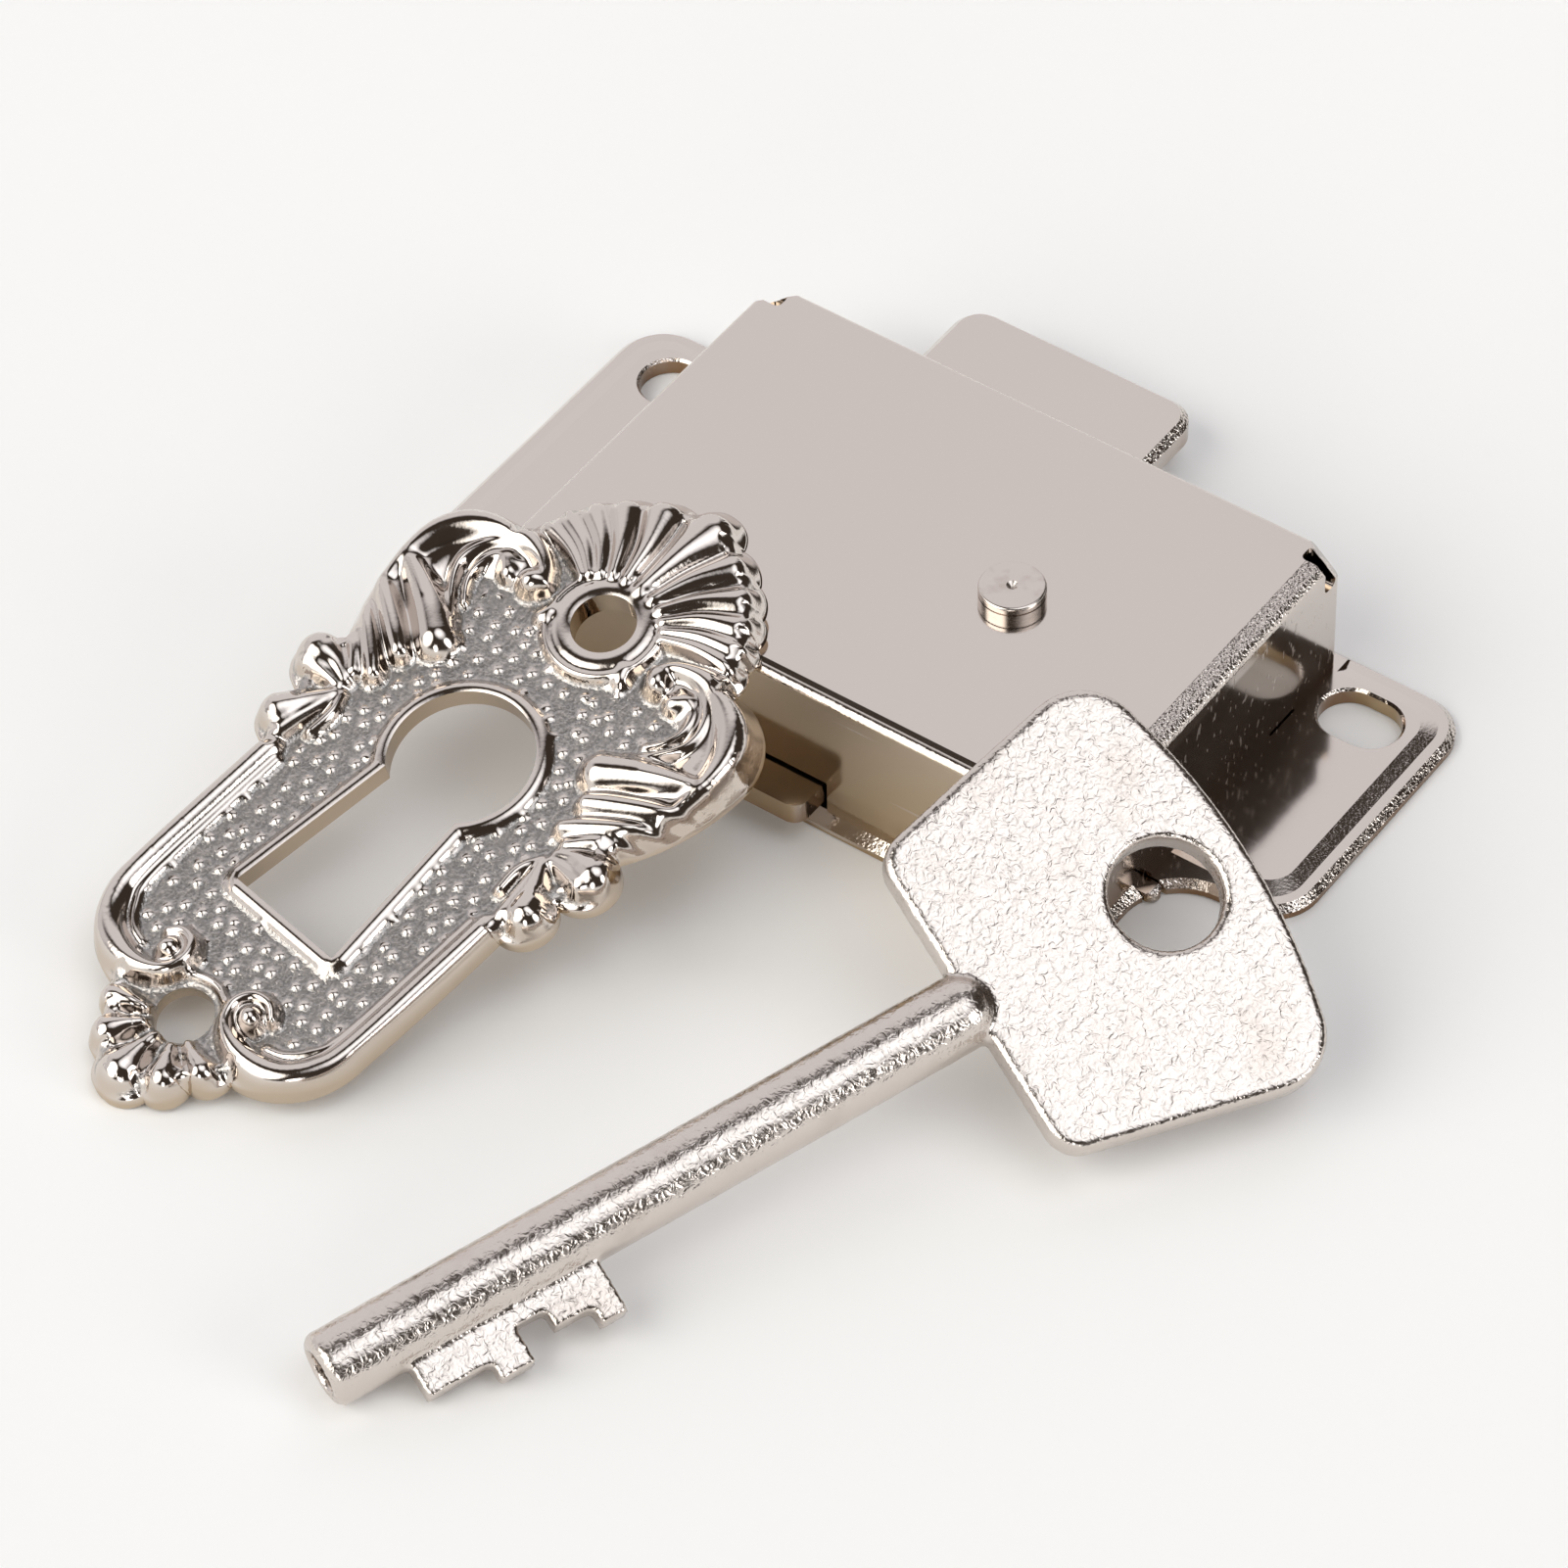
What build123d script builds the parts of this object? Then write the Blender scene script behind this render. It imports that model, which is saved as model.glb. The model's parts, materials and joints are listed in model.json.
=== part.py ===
from build123d import *
from math import asin, atan2, cos, degrees, hypot, radians, sin, sqrt
import os

os.makedirs("parts", exist_ok=True)

# Antique cabinet lock: a surface lock in a folded case, with its keyhole escutcheon and its key.
# X runs along the ears, the bolt points along +Y, and Z = 0 is the plane that the lock is screwed against.
# The origin is the middle of the case on that plane. All sizes are in millimetres.

# Gaps between pieces
body_gap = 0.3
running_gap = 0.05
seat_gap = 0.1
bearing_gap = 0.1

# Case
case_length = 50.8
case_depth = 33.6
case_height = 12.85
sheet = 0.8
fold_radius = 0.8
relief_along = 3.1
relief_across = 3.1
relief_drop = 2.8

# Mounting plate
plate_thickness = 1.4
left_ear = 12.8
right_ear = 11.1
near_ledge = 0.7
far_ledge = 1.5
side_ledge = 0.5
right_ear_near_edge = -7.0
ear_corner = 4.0
ear_root_radius = 4.8
rim_width = 0.9
panel_depth = 0.35
panel_margin = 1.3
panel_slope = 1.1
slot_length = 6.5
slot_width = 4.9
slot_from_end = 6.65
slot_from_far_edge = 5.4
slot_edge = 0.2

# Tabs that hold the cover on the plate
tab_width = 3.0
tab_from_middle = 9.3
foot_reach = 1.7
foot_width = 1.4
foot_thickness = 0.8

# Key axis, drill pin and keyhole
key_x = 8.4
key_y = -0.65
pin_diameter = 2.8
pin_collar_diameter = 4.6
pin_collar_thickness = 0.5
pin_end_height = 2.0
head_diameter = 5.0
head_step_diameter = 4.6
head_height = 1.3
head_step_height = 0.6
head_groove = 0.15
head_edge = 0.25
head_dimple_diameter = 0.9
head_dimple_depth = 0.3
keyhole_diameter = 6.2
keyhole_slot_width = 2.5

# Bolt
bolt_x = -6.37
bolt_width = 20.94
bolt_lift = 0.9
bolt_thickness = 2.1
bolt_reach = 13.9
bolt_travel = 8.0
bolt_corner = 2.4
bolt_edge = 0.6
bolt_end_gap = 0.5
tail_width = 18.84
tail_thickness = 1.8
tail_reach = 3.1
tail_corner = 1.2
talon_play = 0.3
talon_floor_play = 0.4

# Levers, their post and springs
lever_count = 4
lever_gap = 0.5
lever_drop = 6.0
lever_left = 5.5
lever_right = 5.3
lever_head_radius = 4.2
lever_foot_gap = 0.7
lever_corner = 1.6
belly_length = 7.0
belly_gap = 0.1
post_diameter = 3.2
post_rivet_diameter = 2.4
washer_diameter = 6.4
washer_thickness = 0.4
washer_play = 0.2
stump_diameter = 2.4
stump_rivet_diameter = 1.6
stump_from_near_wall = 3.6
stump_over_levers = 0.2
gate_gap = 0.25
pocket_gap = 0.5
spring_thickness = 0.3
spring_height = 1.0
spring_root = 1.6
spring_root_y = -1.0
spring_bend = 2.0
spring_length = 13.6
stop_diameter = 2.4
stop_rivet_diameter = 1.8

# Key
shank_diameter = 5.5
barrel_length = 50.9
barrel_bore = 3.2
barrel_bore_depth = 18.0
shank_on_bow = 2.9
tip_edge = 0.5
bow_thickness = 2.6
bow_edge = 0.6
bow_length = 24.0
bow_root_y = 0.95
bow_root_half = 12.45
bow_root_corner = 2.6
bow_top_y = 20.9
bow_top_half = 17.1
bow_top_corner = 4.5
bow_hole_y = 17.25
bow_hole_radius = 4.08
bow_hole_edge = 0.3
bit_thickness = 2.0
bit_ends = (-45.5, -40.6, -37.9, -35.6, -32.7, -30.6)
bit_radii = (5.3, 6.7, 3.95, 5.4, 6.75)
key_turn = 23.28
key_roll = 25.1
key_contact_x = -7.79
key_contact_y = 15.46

# Escutcheon
escutcheon_thickness = 1.5
escutcheon_turn = 11.11
escutcheon_x = -21.6
escutcheon_reach = 44.57
lower_tip_y = -8.06
lower_hole_radius = 2.25
upper_hole_radius = 2.45
upper_hole_y = 41.62
keyhole_centre_y = 27.27
keyhole_round_radius = 5.5
keyhole_shoulder = 3.7
keyhole_foot = 5.05
keyhole_foot_y = 9.92
lip_width = 1.0
lip_height = 0.55
outline_foot = ((0, -5.8), (5.6, -2.2), (6.3, -1.5))
outline_heel = (10.33, 0.38)
outline_side = (12.45, 5.75)
outline_flank = ((12.6, 18.94), (13.2, 23.6), (14.2, 28.3))
outline_cheek = (17.2, 36.8)
outline_brow = (15.41, 42.51)
outline_neck = (10.3, 44.2)
side_balls = ((13.1, 21.3, 1.9), (14.4, 26.6, 1.95))
foot_balls = ((3.05, -4.35, 1.68), (4.75, -2.35, 1.3))
inner_balls = ((5.4, 39.15, 1.3), (8.5, 33.1, 1.7), (3.94, 3.36, 0.8))
middle_ball = 2.06
ball_level = -0.35
ball_overhang = 0.2
ridge_level = -0.2
ridge_lines = (
    (((4.4, 2.9), (5.8, 0.6), (8.6, 1.1), (10.6, 3.4), (11.4, 8.0), (11.5, 18.4)), 1.15),
    (((15.4, 31.2), (16.1, 36.5), (15.0, 40.8), (12.0, 42.7), (8.6, 42.0), (5.9, 39.9)), 1.15),
    (((14.0, 32.6), (13.9, 36.2), (12.6, 38.9), (10.2, 39.6)), 0.9),
    (((14.6, 29.6), (11.6, 29.4), (9.0, 31.6)), 0.9),
)
fan_flutes = 9
fan_spread = 17.0
fan_root_radius = 4.2
fan_tip_radius = 1.45
fan_root_thickness = 0.75
fan_reach_middle = 13.05
fan_reach_side = 11.0
ring_width = 1.1

# Levels and places that follow from the sizes above
half_length = case_length / 2
half_depth = case_depth / 2
near_inside = sheet - half_depth
ceiling = case_height - sheet
bolt_bottom = plate_thickness + bolt_lift
bolt_top = bolt_bottom + bolt_thickness
bolt_right = bolt_x + bolt_width / 2
lever_bottom = bolt_top + lever_gap
lever_top = ceiling - washer_play - (washer_thickness + lever_gap) / 2
lever_pitch = (lever_top + lever_gap - lever_bottom) / lever_count
lever_thickness = lever_pitch - lever_gap
guide_width = post_diameter + 2 * bearing_gap
pivot_y = half_depth - sheet - bolt_travel - guide_width / 2
stump_back_y = near_inside + stump_from_near_wall
stump_front_y = stump_back_y + bolt_travel
throw_radius = bit_radii[-1]
lever_radii = tuple(reversed(bit_radii[:-1]))
spring_y = pivot_y + spring_root_y
lever_left_x = bolt_x - lever_left
stop_x = bolt_x - (bolt_width + stop_diameter) / 2 - body_gap
spring_x = stop_x + (spring_thickness + stop_diameter) / 2 + seat_gap
stop_y = spring_y - spring_length + stop_diameter / 2
stand = (Align.CENTER, Align.CENTER, Align.MIN)


# Mounting plate: a sheet with two ears, its rim turned down and a low raised panel on each ear
plate_left = -half_length - left_ear
plate_right = half_length + right_ear
plate_near = -half_depth - near_ledge
plate_far = half_depth + far_ledge
slot_y = plate_far - slot_from_far_edge
slot_left_x = plate_left + slot_from_end
slot_right_x = plate_right - slot_from_end
panel_corner = ear_corner - panel_margin
panel_inner = half_length + side_ledge - panel_corner - panel_slope
ear_middle = half_length + side_ledge + max(left_ear, right_ear) / 2
panels = (
    (plate_left + panel_margin, -panel_inner, plate_near + panel_margin),
    (panel_inner, plate_right - panel_margin, right_ear_near_edge + panel_margin),
)
tabs = (
    (-half_length + sheet / 2, tab_from_middle),
    (-half_length + sheet / 2, -tab_from_middle),
    (half_length - sheet / 2, tab_from_middle),
)

with BuildPart() as mounting_plate:
    with BuildSketch():
        with BuildLine():
            Polyline(
                (plate_left, plate_near),
                (half_length + side_ledge, plate_near),
                (half_length + side_ledge, right_ear_near_edge),
                (plate_right, right_ear_near_edge),
                (plate_right, plate_far),
                (plate_left, plate_far),
                close=True,
            )
        make_face()
    extrude(amount=plate_thickness)
    upright = mounting_plate.edges().filter_by(Axis.Z)
    fillet(upright.group_by(Axis.X)[0] + upright.group_by(Axis.X)[-1], ear_corner)
    inner_corners = mounting_plate.edges().filter_by(Axis.Z).filter_by_position(
        Axis.X, half_length, half_length + 2 * side_ledge
    )
    fillet(inner_corners.sort_by(Axis.Y)[-1], ear_root_radius)
    chamfer(mounting_plate.faces().sort_by(Axis.Z)[-1].edges(), rim_width)
    with Locations((-ear_middle, 0, plate_thickness), (ear_middle, 0, plate_thickness)):
        Box(
            max(left_ear, right_ear),
            2 * plate_far,
            panel_depth,
            align=(Align.CENTER, Align.CENTER, Align.MAX),
            mode=Mode.SUBTRACT,
        )
    for low_x, high_x, low_y in panels:
        high_y = plate_far - panel_margin
        middle = ((low_x + high_x) / 2, (low_y + high_y) / 2)
        width = high_x - low_x
        depth = high_y - low_y
        with BuildSketch(Plane.XY.offset(plate_thickness - panel_depth)):
            with Locations(middle):
                RectangleRounded(width, depth, panel_corner)
        with BuildSketch(Plane.XY.offset(plate_thickness)):
            with Locations(middle):
                RectangleRounded(width - 2 * panel_slope, depth - 2 * panel_slope, panel_corner - panel_slope / 2)
        loft()
    with BuildSketch():
        with Locations((slot_left_x, slot_y), (slot_right_x, slot_y)):
            SlotOverall(slot_length, slot_width)
    extrude(amount=plate_thickness, mode=Mode.SUBTRACT)
    with BuildSketch(Plane.XY.offset(plate_thickness)):
        with Locations((slot_left_x, slot_y), (slot_right_x, slot_y)):
            SlotOverall(slot_length + 2 * slot_edge, slot_width + 2 * slot_edge)
    extrude(amount=-slot_edge, taper=45, mode=Mode.SUBTRACT)
    with BuildSketch():
        with Locations((key_x, key_y)):
            Circle(keyhole_diameter / 2)
        with Locations((key_x, key_y)):
            Rectangle(
                throw_radius + talon_play,
                keyhole_slot_width,
                align=(Align.MIN, Align.CENTER),
            )
    extrude(amount=plate_thickness, mode=Mode.SUBTRACT)
    with Locations(*tabs):
        Box(sheet + 2 * seat_gap, tab_width + 2 * seat_gap, plate_thickness, align=stand, mode=Mode.SUBTRACT)
    with Locations((half_length - sheet - seat_gap, -tab_from_middle, 0)):
        Box(
            foot_reach + 2 * sheet,
            foot_width + 2 * seat_gap,
            plate_thickness,
            align=(Align.MIN, Align.CENTER, Align.MIN),
            mode=Mode.SUBTRACT,
        )
    for place, diameter in (((bolt_x, pivot_y), post_rivet_diameter), ((stop_x, stop_y), stop_rivet_diameter)):
        with Locations(place):
            Cylinder(diameter / 2, plate_thickness, align=stand, mode=Mode.SUBTRACT)
mounting_plate.part.label = "mounting_plate"
export_step(mounting_plate.part, "parts/mounting_plate.step")


# Cover: a folded sheet case with windows for the bolt and its tail, and a relief hole at each far corner
bolt_window = bolt_lift + bolt_thickness + body_gap
tail_window = bolt_lift + tail_thickness + body_gap
with BuildPart() as cover:
    with BuildSketch(Plane.XY.offset(plate_thickness)):
        Rectangle(case_length, case_depth)
    extrude(amount=case_height - plate_thickness)
    fillet(cover.edges().filter_by(Axis.Z), fold_radius)
    fillet(cover.faces().sort_by(Axis.Z)[-1].edges(), fold_radius)
    with BuildSketch(Plane.XY.offset(plate_thickness)):
        Rectangle(case_length - 2 * sheet, case_depth - 2 * sheet)
    extrude(amount=ceiling - plate_thickness, mode=Mode.SUBTRACT)
    for side in (-1, 1):
        relief_foot = (side * half_length, half_depth, case_height - relief_drop)
        relief_normal = (side / relief_along, 1 / relief_across, 1 / relief_drop)
        split(bisect_by=Plane(relief_foot, z_dir=relief_normal), keep=Keep.BOTTOM)
    with Locations((bolt_x, half_depth - sheet / 2, plate_thickness)):
        Box(bolt_width + 2 * body_gap, 2 * sheet, bolt_window, align=stand, mode=Mode.SUBTRACT)
    with Locations((bolt_x, sheet / 2 - half_depth, plate_thickness)):
        Box(tail_width + 2 * body_gap, 2 * sheet, tail_window, align=stand, mode=Mode.SUBTRACT)
    with Locations((key_x, key_y, ceiling)):
        Cylinder(pin_diameter / 2, sheet, align=stand, mode=Mode.SUBTRACT)
    with Locations(*[(x, y, seat_gap) for x, y in tabs]):
        Box(sheet, tab_width, plate_thickness - seat_gap, align=stand)
    with Locations((half_length - sheet, -tab_from_middle, seat_gap)):
        Box(sheet, foot_width, plate_thickness - seat_gap, align=(Align.MIN, Align.CENTER, Align.MIN))
        Box(foot_reach + sheet, foot_width, foot_thickness, align=(Align.MIN, Align.CENTER, Align.MIN))
    fillet(cover.edges().filter_by(Axis.Z).sort_by(Axis.X)[-2:], foot_width / 2 - seat_gap)
cover.part.label = "cover"
export_step(cover.part, "parts/cover.step")


# Drill pin: the hollow key runs on it, and its two-step rivet head stands on the cover
with BuildPart() as drill_pin:
    with BuildSketch(Plane.XY.offset(pin_end_height)):
        with Locations((key_x, key_y)):
            Circle(pin_diameter / 2)
    extrude(amount=case_height - pin_end_height)
    with Locations((key_x, key_y, ceiling - pin_collar_thickness)):
        Cylinder(pin_collar_diameter / 2, pin_collar_thickness, align=stand)
    with Locations((key_x, key_y, case_height)):
        Cylinder(head_step_diameter / 2, head_height, align=stand)
        Cylinder(head_diameter / 2, head_step_height, align=stand)
    with Locations((key_x, key_y, case_height + head_step_height + head_groove)):
        Cylinder(head_diameter / 2, head_height - head_step_height - head_groove, align=stand)
    fillet(drill_pin.faces().sort_by(Axis.Z)[-1].edges(), head_edge)
    chamfer(drill_pin.faces().sort_by(Axis.Z)[0].edges(), head_edge)
    with Locations((key_x, key_y, case_height + head_height)):
        Cone(
            0,
            head_dimple_diameter / 2,
            head_dimple_depth,
            align=(Align.CENTER, Align.CENTER, Align.MAX),
            mode=Mode.SUBTRACT,
        )
drill_pin.part.label = "drill_pin"
export_step(drill_pin.part, "parts/drill_pin.step")


# Bolt: a flat plate with a tail, a slot for the lever post and a notch that the key's bit drives
bolt_far = half_depth + bolt_reach
bolt_near = near_inside + bolt_travel + bolt_end_gap
chord_half = sqrt(throw_radius**2 - (key_x - bolt_right) ** 2)
talon_width = 2 * (chord_half + bit_thickness / 2 + talon_play) - bolt_travel
talon_depth = throw_radius - (key_x - bolt_right) + talon_floor_play
with BuildPart() as bolt:
    with BuildSketch(Plane.XY.offset(bolt_bottom)):
        with Locations((bolt_x, (bolt_near + bolt_far) / 2)):
            Rectangle(bolt_width, bolt_far - bolt_near)
    extrude(amount=bolt_thickness)
    fillet(bolt.edges().filter_by(Axis.Z).group_by(Axis.Y)[-1], bolt_corner)
    chamfer(bolt.faces().sort_by(Axis.Z)[-1].edges(), bolt_edge)
    with BuildSketch(Plane.XY.offset(bolt_bottom)):
        with Locations((bolt_x, (bolt_near - half_depth - tail_reach) / 2)):
            Rectangle(tail_width, bolt_near + half_depth + tail_reach)
    extrude(amount=tail_thickness)
    fillet(bolt.edges().filter_by(Axis.Z).group_by(Axis.Y)[0], tail_corner)
    with BuildSketch(Plane.XY.offset(bolt_bottom)):
        with Locations((bolt_x, pivot_y + bolt_travel / 2)):
            SlotCenterToCenter(bolt_travel, guide_width, rotation=90)
        with Locations((bolt_right, key_y + bolt_travel / 2)):
            Rectangle(2 * talon_depth, talon_width)
        with Locations((bolt_x, stump_front_y)):
            Circle(stump_rivet_diameter / 2)
    extrude(amount=bolt_thickness, mode=Mode.SUBTRACT)
bolt.part.label = "bolt"
export_step(bolt.part, "parts/bolt.step")


# Bolt stump: a round post riveted on the bolt, which passes through the levers' gates
with BuildPart() as bolt_stump:
    with Locations((bolt_x, stump_front_y, bolt_bottom)):
        Cylinder(stump_rivet_diameter / 2, bolt_thickness, align=stand)
    with Locations((bolt_x, stump_front_y, bolt_top)):
        Cylinder(stump_diameter / 2, lever_top + stump_over_levers - bolt_top, align=stand)
bolt_stump.part.label = "bolt_stump"
export_step(bolt_stump.part, "parts/bolt_stump.step")


# Posts riveted in the mounting plate: one carries the levers, the springs lean on the other
def riveted_post(x, y, diameter, rivet_diameter):
    with BuildPart() as post:
        with Locations((x, y, 0)):
            Cylinder(rivet_diameter / 2, plate_thickness, align=stand)
        with Locations((x, y, plate_thickness)):
            Cylinder(diameter / 2, ceiling - plate_thickness, align=stand)
    return post.part


lever_post = riveted_post(bolt_x, pivot_y, post_diameter, post_rivet_diameter)
lever_post.label = "lever_post"
export_step(lever_post, "parts/lever_post.step")

spring_stop = riveted_post(stop_x, stop_y, stop_diameter, stop_rivet_diameter)
spring_stop.label = "spring_stop"
export_step(spring_stop, "parts/spring_stop.step")


# Lever spacers: a washer on the post under, between and over the levers
with BuildPart() as lever_spacers:
    for step in range(lever_count + 1):
        washer_z = lever_bottom + step * lever_pitch - (lever_gap + washer_thickness) / 2
        with BuildSketch(Plane.XY.offset(washer_z)):
            with Locations((bolt_x, pivot_y)):
                Circle(washer_diameter / 2)
                Circle(post_diameter / 2, mode=Mode.SUBTRACT)
        extrude(amount=washer_thickness)
lever_spacers.part.label = "lever_spacers"
export_step(lever_spacers.part, "parts/lever_spacers.step")


# Levers: each has a gate between two pockets, and a belly that its own step of the bit lifts
gate_half = stump_diameter / 2 + gate_gap
foot_y = near_inside + lever_foot_gap
swing = radians(lever_drop)
front_pocket = (pivot_y - stump_front_y) * sin(swing) + pocket_gap
back_pocket = (pivot_y - stump_back_y) * sin(swing) + pocket_gap
for number in range(lever_count):
    base = lever_bottom + number * lever_pitch
    belly_x = key_x - lever_radii[number] - belly_gap
    lever_right_x = bolt_x + lever_right
    with BuildPart() as lever:
        with BuildSketch(Plane.XY.offset(base)):
            with Locations((bolt_x, pivot_y)):
                Circle(lever_head_radius)
            with BuildLine():
                FilletPolyline(
                    (bolt_x - lever_head_radius, pivot_y),
                    (lever_left_x, pivot_y - lever_head_radius / 2),
                    (lever_left_x, foot_y),
                    (lever_right_x, foot_y),
                    (lever_right_x, key_y - belly_length / 2),
                    (belly_x, key_y - belly_length / 4),
                    (belly_x, key_y + belly_length / 4),
                    (lever_right_x, key_y + belly_length / 2),
                    (bolt_x + lever_head_radius, pivot_y),
                    radius=lever_corner / 2,
                    close=True,
                )
            make_face()
            with Locations((bolt_x, pivot_y)):
                Circle(post_diameter / 2 + running_gap, mode=Mode.SUBTRACT)
            with Locations((bolt_x, (stump_front_y + stump_back_y) / 2)):
                Rectangle(2 * gate_half, bolt_travel + 2 * gate_half, mode=Mode.SUBTRACT)
            for stump_y, pocket in ((stump_front_y, front_pocket), (stump_back_y, back_pocket)):
                with Locations((bolt_x + gate_half, stump_y)):
                    Rectangle(
                        2 * gate_half + pocket,
                        2 * gate_half,
                        align=(Align.MAX, Align.CENTER),
                        mode=Mode.SUBTRACT,
                    )
            with Locations((lever_left_x, spring_y)):
                Rectangle(
                    spring_root,
                    spring_thickness,
                    align=(Align.MIN, Align.CENTER),
                    mode=Mode.SUBTRACT,
                )
        extrude(amount=lever_thickness)
    lever.part.label = f"lever_{number + 1}"
    export_step(lever.part, f"parts/lever_{number + 1}.step")

    # Leaf spring: a strip set in the lever's slit, bent towards the stop
    with BuildPart() as lever_spring:
        with BuildSketch(Plane.XY.offset(base + (lever_thickness - spring_height) / 2)):
            with BuildLine():
                FilletPolyline(
                    (lever_left_x + spring_root, spring_y),
                    (spring_x, spring_y),
                    (spring_x, spring_y - spring_length),
                    radius=spring_bend,
                )
            trace(line_width=spring_thickness)
        extrude(amount=spring_height)
    lever_spring.part.label = f"lever_spring_{number + 1}"
    export_step(lever_spring.part, f"parts/lever_spring_{number + 1}.step")


# Key: it leans on the case's near right corner, with its barrel's end on the plane that the lock lies on
half_bow = bow_thickness / 2
shank_radius = shank_diameter / 2
contact_rise = case_height - fold_radius
contact_run = key_contact_y + barrel_length
roll = radians(key_roll)
turn = radians(key_turn)
contact_offset = key_contact_x * sin(roll) + (half_bow + fold_radius + seat_gap) * cos(roll) - shank_radius
lean = asin(contact_rise / hypot(contact_run, contact_offset)) + atan2(contact_offset, contact_run)
key_pose = Rot(0, 0, -key_turn) * Rot(degrees(lean), 0, 0) * Rot(0, key_roll, 0)
key_contact = Vector(half_length - fold_radius, fold_radius - half_depth, contact_rise)
key_under = (key_pose * Pos(key_contact_x, key_contact_y, -half_bow - fold_radius - seat_gap)).position
key_plane = Plane(Pos(key_contact - key_under) * key_pose)

shank_axis = Axis(key_plane.origin, key_plane.y_dir)
with BuildPart(key_plane) as key:
    with BuildSketch(key_plane.offset(-half_bow)) as bow:
        with BuildLine():
            Polyline(
                (bow_top_half, bow_top_y),
                (bow_root_half, bow_root_y),
                (-bow_root_half, bow_root_y),
                (-bow_top_half, bow_top_y),
            )
            ThreePointArc((-bow_top_half, bow_top_y), (0, bow_length), (bow_top_half, bow_top_y))
        make_face()
        fillet(bow.vertices().sort_by(Axis.Y)[:2], bow_root_corner)
        fillet(bow.vertices().sort_by(Axis.Y)[-2:], bow_top_corner)
        with Locations((0, bow_hole_y)):
            Circle(bow_hole_radius, mode=Mode.SUBTRACT)
    extrude(amount=bow_thickness)
    bow_faces = key.faces().filter_by(key_plane)
    rims = bow_faces.edges().filter_by(GeomType.CIRCLE).filter_by(lambda rim: rim.is_closed)
    fillet(bow_faces.edges() - rims, bow_edge)
    bow_hole = key.edges().filter_by(GeomType.CIRCLE).filter_by(lambda rim: rim.is_closed)
    chamfer(bow_hole, bow_hole_edge)
    with BuildSketch(key_plane):
        with BuildLine():
            Polyline(
                (0, shank_on_bow),
                (0, -barrel_length),
                (shank_radius - tip_edge, -barrel_length),
                (shank_radius, tip_edge - barrel_length),
                (shank_radius, shank_on_bow - shank_radius),
            )
            CenterArc((0, shank_on_bow - shank_radius), shank_radius, 0, 90)
        make_face()
    revolve(axis=shank_axis)
    with BuildSketch(key_plane.offset(-bit_thickness / 2)):
        with BuildLine():
            steps = [(0, bit_ends[0])]
            for radius, first, last in zip(bit_radii, bit_ends, bit_ends[1:]):
                steps += [(radius, first), (radius, last)]
            Polyline(*steps, (0, bit_ends[-1]), close=True)
        make_face()
    extrude(amount=bit_thickness)
    with BuildSketch(Plane(key_plane.origin - key_plane.y_dir * barrel_length, z_dir=key_plane.y_dir)):
        Circle(barrel_bore / 2)
    extrude(amount=barrel_bore_depth, mode=Mode.SUBTRACT)
key.part.label = "key"
export_step(key.part, "parts/key.step")


# Escutcheon: it lies flush on the near edge of the case, its lowest ball on the plane that the lock lies on
def run_down(x, y):
    return y * cos(radians(escutcheon_turn)) - x * sin(radians(escutcheon_turn))


lowest_point = run_down(0, lower_tip_y + middle_ball) - middle_ball + ball_overhang
contact_length = escutcheon_reach - lowest_point
contact_depth = fold_radius + seat_gap
slope = asin(contact_rise / hypot(contact_length, contact_depth)) + atan2(contact_depth, contact_length)
slope_dir = Vector(0, cos(slope), sin(slope))
face_dir = Vector(0, -sin(slope), cos(slope))
edge_point = Vector(escutcheon_x, fold_radius - half_depth, contact_rise)
ground_origin = edge_point + face_dir * (contact_depth + escutcheon_thickness) - slope_dir * escutcheon_reach
cross_dir = Vector(1, 0, 0) * cos(radians(escutcheon_turn)) - slope_dir * sin(radians(escutcheon_turn))
escutcheon_plane = Plane(ground_origin, x_dir=cross_dir, z_dir=face_dir)

fan_places = []
for step in range(fan_flutes):
    angle = (step - (fan_flutes - 1) / 2) * fan_spread
    reach = fan_reach_side + (fan_reach_middle - fan_reach_side) * cos(radians(angle)) ** 4
    fan_places.append((angle, reach))
fan_tips = [
    ((reach - fan_tip_radius) * sin(radians(angle)), upper_hole_y + (reach - fan_tip_radius) * cos(radians(angle)))
    for angle, reach in fan_places
]


def both_sides(places):
    return [(side * x, *rest) for x, *rest in places for side in (-1, 1)]


def ridge(points, radius):
    with BuildPart() as bar:
        with BuildLine() as path:
            Spline(*points)
        with BuildSketch(Plane(path.line @ 0, z_dir=path.line % 0)):
            Circle(radius)
        sweep()
    return bar.part


def flute(reach):
    with BuildPart() as lobe:
        with BuildSketch():
            with BuildLine():
                Polyline(
                    (0, reach),
                    (0, fan_root_radius),
                    (fan_root_thickness, fan_root_radius),
                    (fan_tip_radius, reach - fan_tip_radius),
                )
                CenterArc((0, reach - fan_tip_radius), fan_tip_radius, 0, 90)
            make_face()
        revolve(axis=Axis.Y)
    return lobe.part


ridges = []
for side in (-1, 1):
    for points, radius in ridge_lines:
        ridges.append(ridge([(side * x, y, ridge_level) for x, y in points], radius))

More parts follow.
